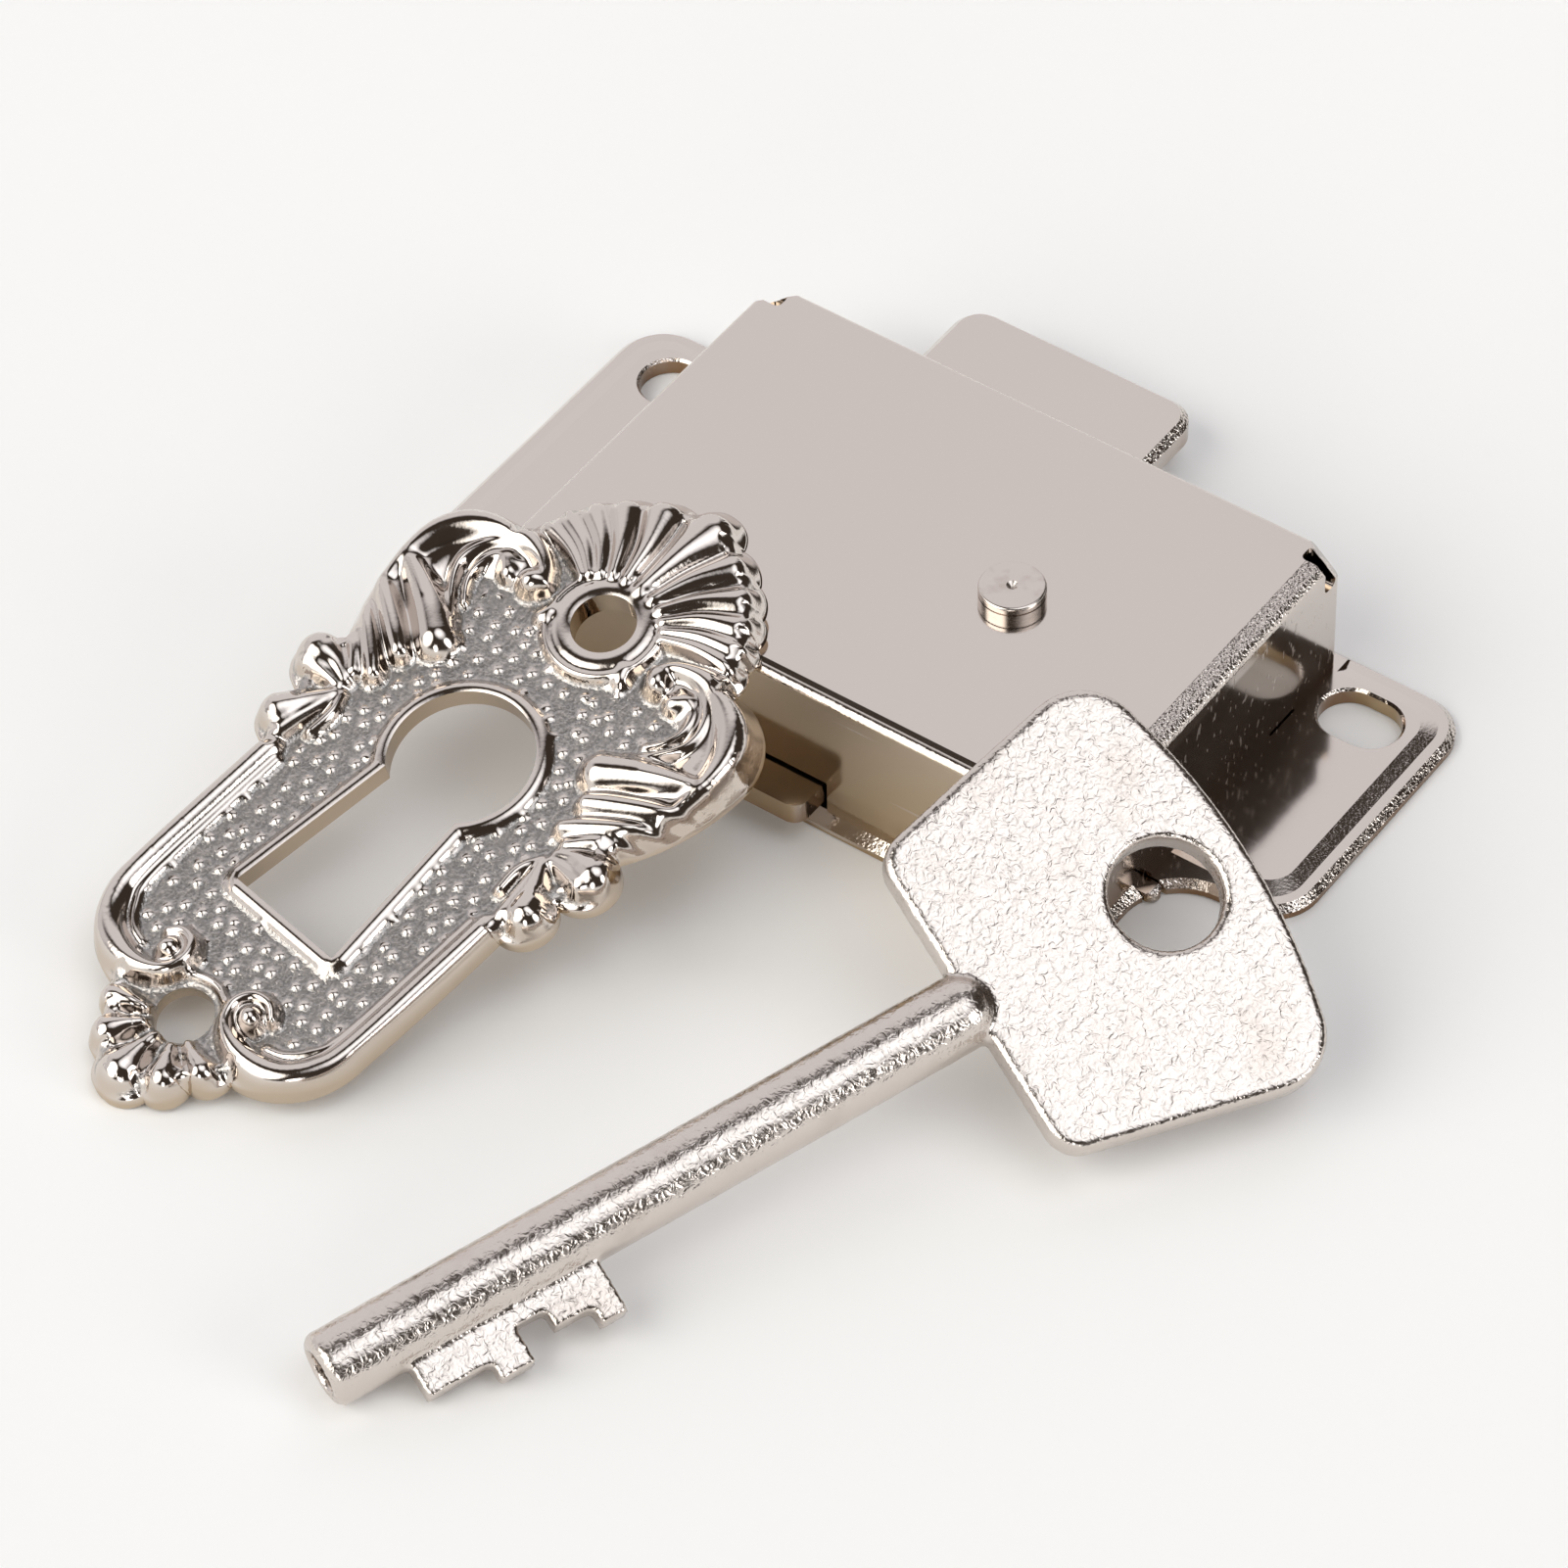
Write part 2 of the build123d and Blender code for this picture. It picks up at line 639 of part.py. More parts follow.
with BuildPart(escutcheon_plane) as escutcheon:
    with BuildSketch(escutcheon_plane.offset(-escutcheon_thickness)):
        with BuildLine():
            Polyline(*outline_foot)
            ThreePointArc(outline_foot[-1], outline_heel, outline_side)
            Polyline(outline_side, *outline_flank)
            ThreePointArc(outline_flank[-1], outline_cheek, outline_brow)
            Polyline(outline_brow, outline_neck, (0, upper_hole_y + fan_reach_side))
            mirror(about=Plane.YZ)
        make_face()
        for x, y, radius in both_sides(side_balls + foot_balls):
            with Locations((x, y)):
                Circle(radius - ball_overhang)
        with Locations(*fan_tips):
            Circle(fan_tip_radius - ball_overhang)
        with Locations((0, lower_tip_y + middle_ball)):
            Circle(middle_ball - ball_overhang)
    extrude(amount=escutcheon_thickness)
    tip_ball = (0, lower_tip_y + middle_ball, middle_ball)
    for x, y, radius in both_sides(side_balls + foot_balls + inner_balls) + [tip_ball]:
        with Locations((x, y, ball_level)):
            Sphere(radius)
    for angle, reach in fan_places:
        with Locations(Pos(0, upper_hole_y, ball_level) * Rot(0, 0, -angle)):
            add(flute(reach))
    with BuildSketch(escutcheon_plane):
        with Locations((0, upper_hole_y)):
            Circle(upper_hole_radius + ring_width)
        with Locations((0, 0)):
            Circle(lower_hole_radius + ring_width / 2)
    extrude(amount=lip_height)
    with BuildSketch(escutcheon_plane):
        with Locations((0, keyhole_centre_y)):
            Circle(keyhole_round_radius + lip_width)
        with BuildLine():
            Polyline(
                (keyhole_shoulder + lip_width, keyhole_centre_y),
                (keyhole_foot + lip_width, keyhole_foot_y - lip_width),
                (-keyhole_foot - lip_width, keyhole_foot_y - lip_width),
                (-keyhole_shoulder - lip_width, keyhole_centre_y),
                close=True,
            )
        make_face()
    extrude(amount=lip_height)
    for bar in ridges:
        add(bar)
    split(bisect_by=escutcheon_plane.offset(-escutcheon_thickness), keep=Keep.TOP)
    with BuildSketch(escutcheon_plane.offset(-escutcheon_thickness)):
        with Locations((0, keyhole_centre_y)):
            Circle(keyhole_round_radius)
        with BuildLine():
            Polyline(
                (keyhole_shoulder, keyhole_centre_y),
                (keyhole_foot, keyhole_foot_y),
                (-keyhole_foot, keyhole_foot_y),
                (-keyhole_shoulder, keyhole_centre_y),
                close=True,
            )
        make_face()
        with Locations((0, upper_hole_y)):
            Circle(upper_hole_radius)
        with Locations((0, 0)):
            Circle(lower_hole_radius)
    extrude(amount=2 * escutcheon_thickness, mode=Mode.SUBTRACT)
escutcheon.part.label = "escutcheon"
export_step(escutcheon.part, "parts/escutcheon.step")
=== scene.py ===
"""Antique cabinet lock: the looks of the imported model, laid out as a Blender add-on."""
import json
from math import atan2, ceil, cos, hypot, radians, sin, sqrt, tau

import bmesh
import bpy
import numpy as np
from bpy.props import FloatProperty, FloatVectorProperty, IntProperty, PointerProperty, StringProperty
from mathutils import Matrix, Vector, noise
from mathutils.geometry import delaunay_2d_cdt


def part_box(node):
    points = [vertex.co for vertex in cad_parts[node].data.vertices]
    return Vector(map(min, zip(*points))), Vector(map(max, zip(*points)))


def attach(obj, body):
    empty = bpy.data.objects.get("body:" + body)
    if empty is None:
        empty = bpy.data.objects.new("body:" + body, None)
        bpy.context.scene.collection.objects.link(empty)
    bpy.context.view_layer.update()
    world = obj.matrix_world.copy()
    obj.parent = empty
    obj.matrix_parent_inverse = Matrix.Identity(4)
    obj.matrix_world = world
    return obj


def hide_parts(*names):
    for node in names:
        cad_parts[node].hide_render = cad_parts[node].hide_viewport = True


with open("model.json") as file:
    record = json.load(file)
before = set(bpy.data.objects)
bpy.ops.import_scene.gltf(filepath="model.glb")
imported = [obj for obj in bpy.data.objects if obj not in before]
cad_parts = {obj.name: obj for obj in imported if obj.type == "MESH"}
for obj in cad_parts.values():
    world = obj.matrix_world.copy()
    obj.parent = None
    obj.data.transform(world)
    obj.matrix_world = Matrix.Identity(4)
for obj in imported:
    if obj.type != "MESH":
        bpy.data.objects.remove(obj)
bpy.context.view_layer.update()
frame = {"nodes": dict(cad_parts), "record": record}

bl_info = {
    "name": "Antique cabinet lock",
    "version": (1, 0, 0),
    "blender": (4, 5, 0),
    "location": "View3D > Sidebar > Lock",
    "description": "Dresses the cabinet lock, its ornamental keyhole escutcheon and its key",
    "category": "Object",
}

MM = 0.001
MOUNTS = {mount["name"]: mount for mount in frame["record"]["mounts"]}


# Small tools

def linear(hex_colour):
    """An sRGB hex colour as linear red, green, blue and alpha."""
    channels = [int(hex_colour[i:i + 2], 16) / 255 for i in (1, 3, 5)]
    return (*[c / 12.92 if c <= 0.04045 else ((c + 0.055) / 1.055) ** 2.4 for c in channels], 1.0)


def mm(*lengths):
    """Lengths in millimetres, turned to metres."""
    return [length * MM for length in lengths]


def add(tree, kind, inputs=(), **settings):
    """One node with its settings. Its inputs are given by name, or in the order that the node shows them: a
    socket is linked, a node is linked by the first output that it shows, and any other value is set."""
    made = tree.nodes.new("ShaderNode" + kind)
    for name, value in settings.items():
        setattr(made, name, value)
    shown = [socket for socket in made.inputs if socket.enabled]
    for key, value in inputs.items() if isinstance(inputs, dict) else enumerate(inputs):
        socket = made.inputs[key] if isinstance(key, str) else shown[key]
        if isinstance(value, bpy.types.Node):
            value = next(output for output in value.outputs if output.enabled)
        if isinstance(value, bpy.types.NodeSocket):
            tree.links.new(value, socket)
        else:
            socket.default_value = value
    return made


def new_material(name):
    """A material and its node tree, still without a node."""
    material = bpy.data.materials.new(name)
    material.use_nodes = True
    material.node_tree.nodes.clear()
    return material, material.node_tree


def frame_from(origin, y_dir, z_dir):
    """A matrix in metres whose local sizes are millimetres."""
    z_axis = Vector(z_dir).normalized()
    y_axis = (Vector(y_dir) - Vector(y_dir).dot(z_axis) * z_axis).normalized()
    x_axis = y_axis.cross(z_axis)
    rotation = Matrix((x_axis, y_axis, z_axis)).transposed().to_4x4()
    return Matrix.Translation(origin) @ rotation @ Matrix.Scale(MM, 4)


def link(name, mesh, body, material):
    """A new piece that moves with a body and has one material slot, holding the given material."""
    piece = bpy.data.objects.new(name, mesh)
    bpy.context.scene.collection.objects.link(piece)
    mesh.materials.clear()
    mesh.materials.append(material)
    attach(piece, body)
    return piece


def modified(context, mesh, kind, **settings):
    """A new mesh: the given one with a modifier of one kind on it."""
    blank = bpy.data.objects.new("blank", mesh)
    context.scene.collection.objects.link(blank)
    modifier = blank.modifiers.new("change", kind)
    for name, value in settings.items():
        setattr(modifier, name, value)
    changed = bpy.data.meshes.new_from_object(blank.evaluated_get(context.evaluated_depsgraph_get()))
    bpy.data.objects.remove(blank)
    return changed


def dress(node, material):
    """A CAD node gets a material in place of its plain one."""
    mesh = frame["nodes"][node].data
    mesh.materials.clear()
    mesh.materials.append(material)


# Sizes and colours that a user would change

class LockCamera(bpy.types.PropertyGroup):
    azimuth: FloatProperty(
        name="Azimuth", description="Turn round the lock in degrees, from looking along +Y", default=36.742
    )
    elevation: FloatProperty(
        name="Elevation", description="Height of the eye above the horizon in degrees", default=46.790
    )
    roll: FloatProperty(name="Roll", description="Turn of the picture in degrees", default=-1.506)
    distance: FloatProperty(
        name="Distance", description="From the eye to the aim", default=0.5754, unit="LENGTH"
    )
    lens: FloatProperty(
        name="Lens", description="Focal length on a 36 mm frame, in millimetres", default=179.453
    )
    aim: FloatVectorProperty(
        name="Aim", description="Point in the picture's middle", default=(-0.004776, -0.011039, -0.005625),
        subtype="XYZ"
    )


class LockFinish(bpy.types.PropertyGroup):
    nickel: StringProperty(
        name="Nickel", description="Colour of the bright nickel plate", default="#D6CDC6"
    )
    # Painted shade: the case's near wall and the escutcheon's steep sides take this colour
    painted_wall_shade: StringProperty(
        name="Tarnish", description="Colour of the thin plate on the near wall", default="#B59E7A"
    )
    # Painted dark reflection on the case's right wall
    painted_dark_reflection: StringProperty(
        name="Stain", description="Colour of the dull plate on the right wall", default="#7A6856"
    )
    # Also painted shade: the case's walls take this colour in patches low down; on the key and the rivet it
    # is real wear
    bronze: StringProperty(
        name="Bronze tint", description="Colour of the plate where it has worn thin", default="#8A6B4F"
    )
    ground: StringProperty(
        name="Ground", description="Colour of the escutcheon's stippled ground", default="#A5A3A1"
    )
    # Painted shade in the escutcheon's grooves
    painted_groove_shade: StringProperty(
        name="Crevice", description="Colour of the dirt in the relief's grooves", default="#463B32"
    )
    brass: StringProperty(name="Brass", description="Colour of the levers", default="#B8935A")
    steel: StringProperty(name="Steel", description="Colour of the bare steel", default="#8C8985")
    floor: StringProperty(name="Floor", description="Colour of the floor", default="#FCFCFB")


class LockLight(bpy.types.PropertyGroup):
    strength: FloatProperty(name="Strength", description="Brightness of the studio's panels", default=1.0)


class EscutcheonSizes(bpy.types.PropertyGroup):
    step: FloatProperty(
        name="Mesh step", description="Distance between the relief's points, in millimetres", default=0.14
    )
    rows: IntProperty(name="Edge rows", description="Rows of points that follow each edge", default=9)
    softness: IntProperty(name="Softness", description="How often the heights are averaged", default=5)
    thickness: FloatProperty(
        name="Thickness", description="From the ground to the back, in millimetres", default=1.15
    )
    bead_pitch: FloatProperty(
        name="Bead pitch", description="Distance between the beads, in millimetres", default=1.6
    )
    bead_size: FloatProperty(
        name="Bead size", description="Diameter of a bead, in millimetres", default=0.72
    )
    seed: IntProperty(name="Seed", description="Random seed of the beads' places", default=7)


class KeySizes(bpy.types.PropertyGroup):
    voxel: FloatProperty(name="Voxel", description="Size of the key's mesh, in millimetres", default=0.26)
    wrinkle: FloatProperty(
        name="Wrinkle", description="Depth of the cast skin's wrinkles, in millimetres", default=0.038
    )
    pitch: FloatProperty(
        name="Wrinkle pitch", description="Distance between wrinkles, in millimetres", default=0.9
    )


# Materials: every metal keeps the default IOR

# Sizes of the patterns in millimetres: across one cell of a noise, or from ring to ring
SHEET_CLOUD = 11.11
PEEL = 0.2381
STIPPLE = 0.3333
CAST_CLOUD = 2.0
KEY_SKIN = 0.5
KEY_CLOUD = 5.0
TURNED_CLOUD = 1.429
WORKS_CLOUD = 3.333
# These three are finer on real metal, and are drawn this coarse so that they show in the render
SCRATCH = (16.67, 0.3846, 1.111)
TURNED_RINGS = 0.2094
DRAWN_LINES = (0.4, 8.333, 0.4)

# Where a finish of the case comes or goes, in millimetres from the middle of its foot. Heights: of the top,
# of the near wall's fading painted shade, of the walls' painted brown shade low down and of the right
# wall's bright upper edge, where its painted dark reflection stops.
TOP_FOLD = (12.0, 12.4)
NEAR_WALL_SHADE = (1.0, 12.5)
LOW_WALL_SHADE = (1.5, 4.5)
BRIGHT_TOP = (10.9, 11.3)
# Across: the right fold's roll and its rough band
RIGHT_FOLD = (23.7, 24.7)
RIGHT_BAND = (23.6, 23.9)
# Along: the near fold, and the right wall's bright far end, whose border leans by this much of the height;
# the wall's painted dark reflection stops at that end
NEAR_FOLD = (-16.1, -15.6)
BRIGHT_END = (13.5, 16.5)
BRIGHT_END_LEAN = 0.8


def plated_sheet():
    """Bright nickel on pressed steel sheet: a soft mirror on the flats, an orange-peel skin on the bends
    and scratches on the walls. Painted shade tints the walls: olive on the near wall, paling upward, a dark
    reflection on the right wall up to its bright far end and upper edge, and brown patches low on every
    wall."""
    colours = bpy.context.scene.lock_finish
    material, tree = new_material("nickel plate on pressed steel sheet")
    place = add(tree, "TexCoord").outputs["Object"]
    across, along, height = add(tree, "SeparateXYZ", (place,)).outputs
    normal = add(tree, "NewGeometry").outputs["Normal"]
    right_share, far_share, up_share = add(tree, "SeparateXYZ", (normal,)).outputs
    tilt = add(tree, "Math", (up_share,), operation="ABSOLUTE")
    off_wall = add(tree, "MapRange", (tilt, 0.05, 0.3))
    off_flat = add(tree, "MapRange", (tilt, 0.9, 0.985, 1.0, 0.0))
    to_right = add(tree, "MapRange", (right_share, 0.1, 0.4, 0.15, 0.8))
    sloped = add(tree, "Math", (off_wall, off_flat), operation="MULTIPLY")
    sloped = add(tree, "Math", (sloped, to_right), operation="MULTIPLY")
    wall = add(tree, "MapRange", (tilt, 0.1, 0.5, 1.0, 0.0))
    cloud = add(tree, "TexNoise", {"Vector": place, "Scale": 1 / (SHEET_CLOUD * MM), "Detail": 4.0})
    peel = add(tree, "TexNoise", {"Vector": place, "Scale": 1 / (PEEL * MM), "Detail": 1.0})
    grain = add(
        tree, "Mapping",
        {"Vector": place, "Rotation": (0.5, 0.25, 0.6), "Scale": [1 / (size * MM) for size in SCRATCH]},
    )
    drawn = add(tree, "TexNoise", {"Vector": grain, "Scale": 1.0, "Detail": 1.0})
    line = add(tree, "MapRange", (drawn, 0.66, 0.70))
    most_on_walls = add(tree, "MapRange", (wall, 0.0, 1.0, 0.08, 1.0))
    scratch = add(tree, "Math", (line, most_on_walls), operation="MULTIPLY")
    soft = add(tree, "MapRange", (cloud, 0.3, 0.7, 0.08, 0.15))
    roughness = add(tree, "Math", (scratch, 0.2, soft), operation="MULTIPLY_ADD")

    # Painted shade: the wall that faces the near side is tinted olive, paler higher up
    near_wall = add(tree, "MapRange", (far_share, -0.95, -0.6, 1.0, 0.0))
    fading = add(tree, "MapRange", (height, *mm(*NEAR_WALL_SHADE), 0.95, 0.6))
    olive = add(tree, "Math", (near_wall, fading), operation="MULTIPLY")
    diagonal = add(tree, "Math", (height, BRIGHT_END_LEAN, along), operation="MULTIPLY_ADD")
    far_end = add(tree, "MapRange", (diagonal, *mm(*BRIGHT_END)))
    upper_end = add(tree, "MapRange", (height, *mm(*BRIGHT_TOP)))
    bright_end = add(tree, "Math", (far_end, upper_end), operation="MAXIMUM")
    # Painted dark reflection on the wall that faces right, kept off its bright far end and upper edge
    right_wall = add(tree, "MapRange", (right_share, 0.6, 0.9))
    reflection_share = add(tree, "MapRange", (bright_end, 0.0, 1.0, 0.6, 0.0))
    dark = add(tree, "Math", (right_wall, reflection_share), operation="MULTIPLY")
    # Painted shade: brown patches low on every wall
    low = add(tree, "MapRange", (height, *mm(*LOW_WALL_SHADE), 0.9, 0.0))
    patches = add(tree, "MapRange", (cloud, 0.4, 0.6))
    foot = add(tree, "Math", (wall, low), operation="MULTIPLY")
    foot = add(tree, "Math", (foot, patches), operation="MULTIPLY")
    unscratched = add(tree, "MapRange", (scratch, 0.0, 1.0, 1.0, 0.2))
    olive = add(tree, "Math", (olive, unscratched), operation="MULTIPLY")
    dark = add(tree, "Math", (dark, unscratched), operation="MULTIPLY")
    colour = linear(colours.nickel)
    for share, tint in ((olive, colours.painted_wall_shade), (dark, colours.painted_dark_reflection), (foot, colours.bronze)):
        colour = add(tree, "Mix", (share, colour, linear(tint)), data_type="RGBA")

    # The top rolls down a little beside the right fold and the near fold, and the skin is rough there
    over_top = add(tree, "MapRange", (height, *mm(*TOP_FOLD)))
    right_roll = add(tree, "MapRange", (across, *mm(*RIGHT_FOLD), 1.0, 0.0))
    near_roll = add(tree, "MapRange", (along, *mm(*NEAR_FOLD), 0.2, 1.0))
    roll = add(tree, "Math", (right_roll, near_roll), operation="MULTIPLY")
    roll = add(tree, "Math", (roll, over_top), operation="MULTIPLY")
    rolled = add(tree, "Bump", {"Height": roll, "Strength": 1.0, "Distance": 0.25 * MM})
    beside = add(tree, "MapRange", (across, *mm(*RIGHT_BAND)))
    band = add(tree, "Math", (beside, over_top), operation="MULTIPLY")
    rough_share = add(tree, "Math", (sloped, band), operation="MAXIMUM")
    normal = rolled
    for pattern, strength, depth in ((peel, rough_share, 0.12), (cloud, 0.2, 0.15), (scratch, 0.15, 0.02)):
        bumped = {"Height": pattern, "Strength": strength, "Distance": depth * MM, "Normal": normal}
        normal = add(tree, "Bump", bumped)
    shader = add(
        tree, "BsdfPrincipled",
        {"Base Color": colour, "Metallic": 1.0, "Roughness": roughness, "Normal": normal},
    )
    add(tree, "OutputMaterial", {"Surface": shader})
    return material


def cast_nickel():
    """Nickel on a die-cast zinc relief: polished bright on the raised forms, matt and finely stippled on
    the ground, with painted brown shade in the deepest grooves and painted olive shade on the steep sides."""
    colours = bpy.context.scene.lock_finish
    nickel = linear(colours.nickel)
    material, tree = new_material("nickel plate on die-cast zinc")
    place = add(tree, "TexCoord").outputs["Object"]
    ground = add(tree, "Attribute", attribute_name="ground").outputs["Fac"]
    groove = add(tree, "Attribute", attribute_name="groove").outputs["Fac"]
    stipple = add(tree, "TexNoise", {"Vector": place, "Scale": 1 / (STIPPLE * MM), "Detail": 2.0})
    patches = add(tree, "TexNoise", {"Vector": place, "Scale": 1 / (CAST_CLOUD * MM), "Detail": 3.0})
    high_grain = add(tree, "MapRange", (stipple, 0.4, 0.65, 0.0, 0.6))
    matt = add(tree, "Mix", (high_grain, linear(colours.ground), nickel), data_type="RGBA")
    colour = add(tree, "Mix", (ground, nickel, matt), data_type="RGBA")
    # Painted shade: the grooves between the forms are darkened brown
    painted_shade = add(tree, "Math", (groove, 0.6), operation="MULTIPLY")
    colour = add(tree, "Mix", (painted_shade, colour, linear(colours.painted_groove_shade)), data_type="RGBA")
    normal = add(tree, "NewGeometry").outputs["Normal"]
    up_share = add(tree, "SeparateXYZ", (normal,)).outputs["Z"]
    # Painted shade: the steep sides are tinted olive
    steep = add(tree, "MapRange", (up_share, 0.0, 0.5, 0.6, 0.0))
    colour = add(tree, "Mix", (steep, colour, linear(colours.painted_wall_shade)), data_type="RGBA")
    soft = add(tree, "MapRange", (patches, 0.3, 0.7, 0.05, 0.11))
    roughness = add(tree, "Math", (ground, 0.24, soft), operation="MULTIPLY_ADD")
    grained = add(tree, "MapRange", (ground, 0.0, 1.0, 0.06, 1.0))
    pits = add(tree, "Bump", {"Height": stipple, "Strength": grained, "Distance": 0.1 * MM})
    shader = add(
        tree, "BsdfPrincipled",
        {"Base Color": colour, "Metallic": 1.0, "Roughness": roughness, "Normal": pits},
    )
    add(tree, "OutputMaterial", {"Surface": shader})
    return material


def wrinkled_nickel():
    """Nickel on a cast key: bright, over a wrinkled cast skin."""
    colours = bpy.context.scene.lock_finish
    material, tree = new_material("nickel plate on wrinkled casting")
    place = add(tree, "TexCoord").outputs["Object"]
    skin = add(
        tree, "TexNoise",
        {"Vector": place, "Scale": 1 / (KEY_SKIN * MM), "Detail": 1.0, "Distortion": 1.0},
    )
    cloud = add(tree, "TexNoise", {"Vector": place, "Scale": 1 / (KEY_CLOUD * MM), "Detail": 3.0})
    worn = add(tree, "MapRange", (cloud, 0.55, 0.8, 0.0, 0.2))
    colour = add(tree, "Mix", (worn, linear(colours.nickel), linear(colours.bronze)), data_type="RGBA")
    roughness = add(tree, "MapRange", (skin, 0.3, 0.7, 0.16, 0.24))
    bump = add(tree, "Bump", {"Height": skin, "Strength": 0.7, "Distance": 0.08 * MM})
    shader = add(
        tree, "BsdfPrincipled",
        {"Base Color": colour, "Metallic": 1.0, "Roughness": roughness, "Normal": bump},
    )
    add(tree, "OutputMaterial", {"Surface": shader})
    return material


def turned_nickel():
    """Nickel on a turned steel rivet: bright, with fine rings."""
    colours = bpy.context.scene.lock_finish
    material, tree = new_material("nickel plate on turned steel")
    place = add(tree, "TexCoord").outputs["Object"]
    low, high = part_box("drill_pin")
    moved = add(tree, "Mapping", {"Vector": place, "Location": -(low + high) / 2})
    # A wave texture of scale 1 has a ring every tau / 20
    rings = add(
        tree, "TexWave",
        {"Vector": moved, "Scale": tau / (20 * TURNED_RINGS * MM), "Distortion": 0.5},
        wave_type="RINGS", rings_direction="Z",
    ).outputs["Fac"]
    cloud = add(tree, "TexNoise", {"Vector": place, "Scale": 1 / (TURNED_CLOUD * MM), "Detail": 3.0})
    worn = add(tree, "MapRange", (cloud, 0.5, 0.8, 0.0, 0.3))
    colour = add(tree, "Mix", (worn, linear(colours.nickel), linear(colours.bronze)), data_type="RGBA")
    roughness = add(tree, "MapRange", (cloud, 0.3, 0.7, 0.14, 0.28))
    bump = add(tree, "Bump", {"Height": rings, "Strength": 0.1, "Distance": 0.02 * MM})
    shader = add(
        tree, "BsdfPrincipled",
        {"Base Color": colour, "Metallic": 1.0, "Roughness": roughness, "Normal": bump},
    )
    add(tree, "OutputMaterial", {"Surface": shader})
    return material


def plain_metal(name, hex_colour, low, high):
    """A plain works metal inside the case, with drawn lines and soft patches; low and high bound its
    roughness."""
    material, tree = new_material(name)
    place = add(tree, "TexCoord").outputs["Object"]
    grain = add(tree, "Mapping", {"Vector": place, "Scale": [1 / (size * MM) for size in DRAWN_LINES]})
    lines = add(tree, "TexNoise", {"Vector": grain, "Scale": 1.0, "Detail": 2.0})
    cloud = add(tree, "TexNoise", {"Vector": place, "Scale": 1 / (WORKS_CLOUD * MM), "Detail": 3.0})
    dark = (*[channel * 0.55 for channel in linear(hex_colour)[:3]], 1.0)
    aged = add(tree, "MapRange", (cloud, 0.45, 0.8, 0.0, 0.6))
    colour = add(tree, "Mix", (aged, linear(hex_colour), dark), data_type="RGBA")
    roughness = add(tree, "MapRange", (lines, 0.3, 0.7, low, high))
    bump = add(tree, "Bump", {"Height": lines, "Strength": 0.3, "Distance": 0.02 * MM})
    shader = add(
        tree, "BsdfPrincipled",
        {"Base Color": colour, "Metallic": 1.0, "Roughness": roughness, "Normal": bump},
    )
    add(tree, "OutputMaterial", {"Surface": shader})
    return material


# Escutcheon: half of its outline and of its relief, in millimetres from the lower hole, X across and Y up

# Where the outline starts, and its arcs: a point about half way along each, and its end
START = (0.0, -8.06)
OUTLINE_ARCS = (
    ((1.55, -7.65), (2.45, -6.37)),
    ((3.94, -5.78), (4.47, -3.79)),
    ((5.64, -3.29), (6.28, -1.50)),
    ((10.33, 0.38), (12.45, 5.75)),
    ((12.6, 12.0), (12.55, 18.94)),
    ((15.0, 21.22), (13.93, 23.6)),
    ((16.38, 26.67), (14.46, 28.95)),
    ((16.55, 33.6), (17.22, 38.46)),
    ((15.2, 42.75), (10.9, 44.1)),
    ((10.75, 45.3), (10.1, 46.1)),
    ((10.1, 47.2), (9.2, 47.9)),
    ((8.8, 49.2), (7.75, 49.9)),
    ((6.9, 51.1), (5.6, 51.7)),
    ((4.1, 52.9), (2.4, 53.1)),
    ((1.4, 54.35), (0.0, 54.67)),
)
# The holes and the keyhole's round part: height of the centre and radius
LOWER_HOLE = (0.0, 2.25)
UPPER_HOLE = (41.62, 2.45)
KEYHOLE_ROUND = (27.27, 5.5)
# The corners of the keyhole's slot: half width and height
KEYHOLE_SHOULDER = (3.72, 23.22)
KEYHOLE_FOOT = (5.06, 9.92)

# Each raised form is a list of places along its middle: x, y, half width, height over the ground
RIM = (
    (11.55, 18.9, 1.15, 1.25), (11.55, 14, 1.15, 1.25), (11.5, 6, 1.2, 1.25), (10.9, 3.2, 1.3, 1.35),
    (9.4, 1.2, 1.4, 1.5), (7.2, .35, 1.4, 1.6), (5.0, .45, 1.15, 1.7), (3.3, 1.3, .9, 1.75),
    (2.7, 2.8, .8, 1.75), (3.3, 4.1, .8, 1.6), (4.6, 4.4, .7, 1.45), (5.6, 3.7, .55, 1.2),
)
RIM_FILLET = (
    (10.3, 18.6, .4, .55), (10.3, 13, .4, .55), (10.15, 6, .4, .55), (9.4, 3.9, .4, .55),
    (8.1, 2.5, .4, .55), (6.6, 2.0, .35, .5),
)
SCROLL = (
    (15.2, 32.6, .8, 1.0), (15.7, 35.6, 1.3, 1.5), (15.4, 38.8, 1.75, 1.8), (14.1, 41.1, 2.0, 1.9),
    (11.9, 42.5, 1.7, 1.8), (9.3, 43.0, 1.25, 1.7), (7.1, 42.4, .95, 1.6), (5.9, 41.2, .85, 1.5),
)
SCROLL_INNER = (
    (7.2, 42.6, .5, 1.2), (9.8, 42.2, .55, 1.3), (11.6, 40.8, .6, 1.3), (12.1, 38.5, .6, 1.2),
    (10.6, 36.2, .5, 1.0), (9.0, 35.0, .4, .8),
)
SCROLL_THREAD = (
    (8.6, 41.3, .4, 1.0), (10.3, 40.7, .45, 1.05), (10.9, 39.2, .45, 1.0), (10.6, 37.8, .4, .9),
    (9.5, 36.4, .35, .7),
)
SCROLL_WEB = ((14.0, 36.3, 1.8, .8), (13.7, 39.4, 2.3, .95), (11.2, 41.1, 2.2, .95), (8.6, 41.4, 1.9, .8))
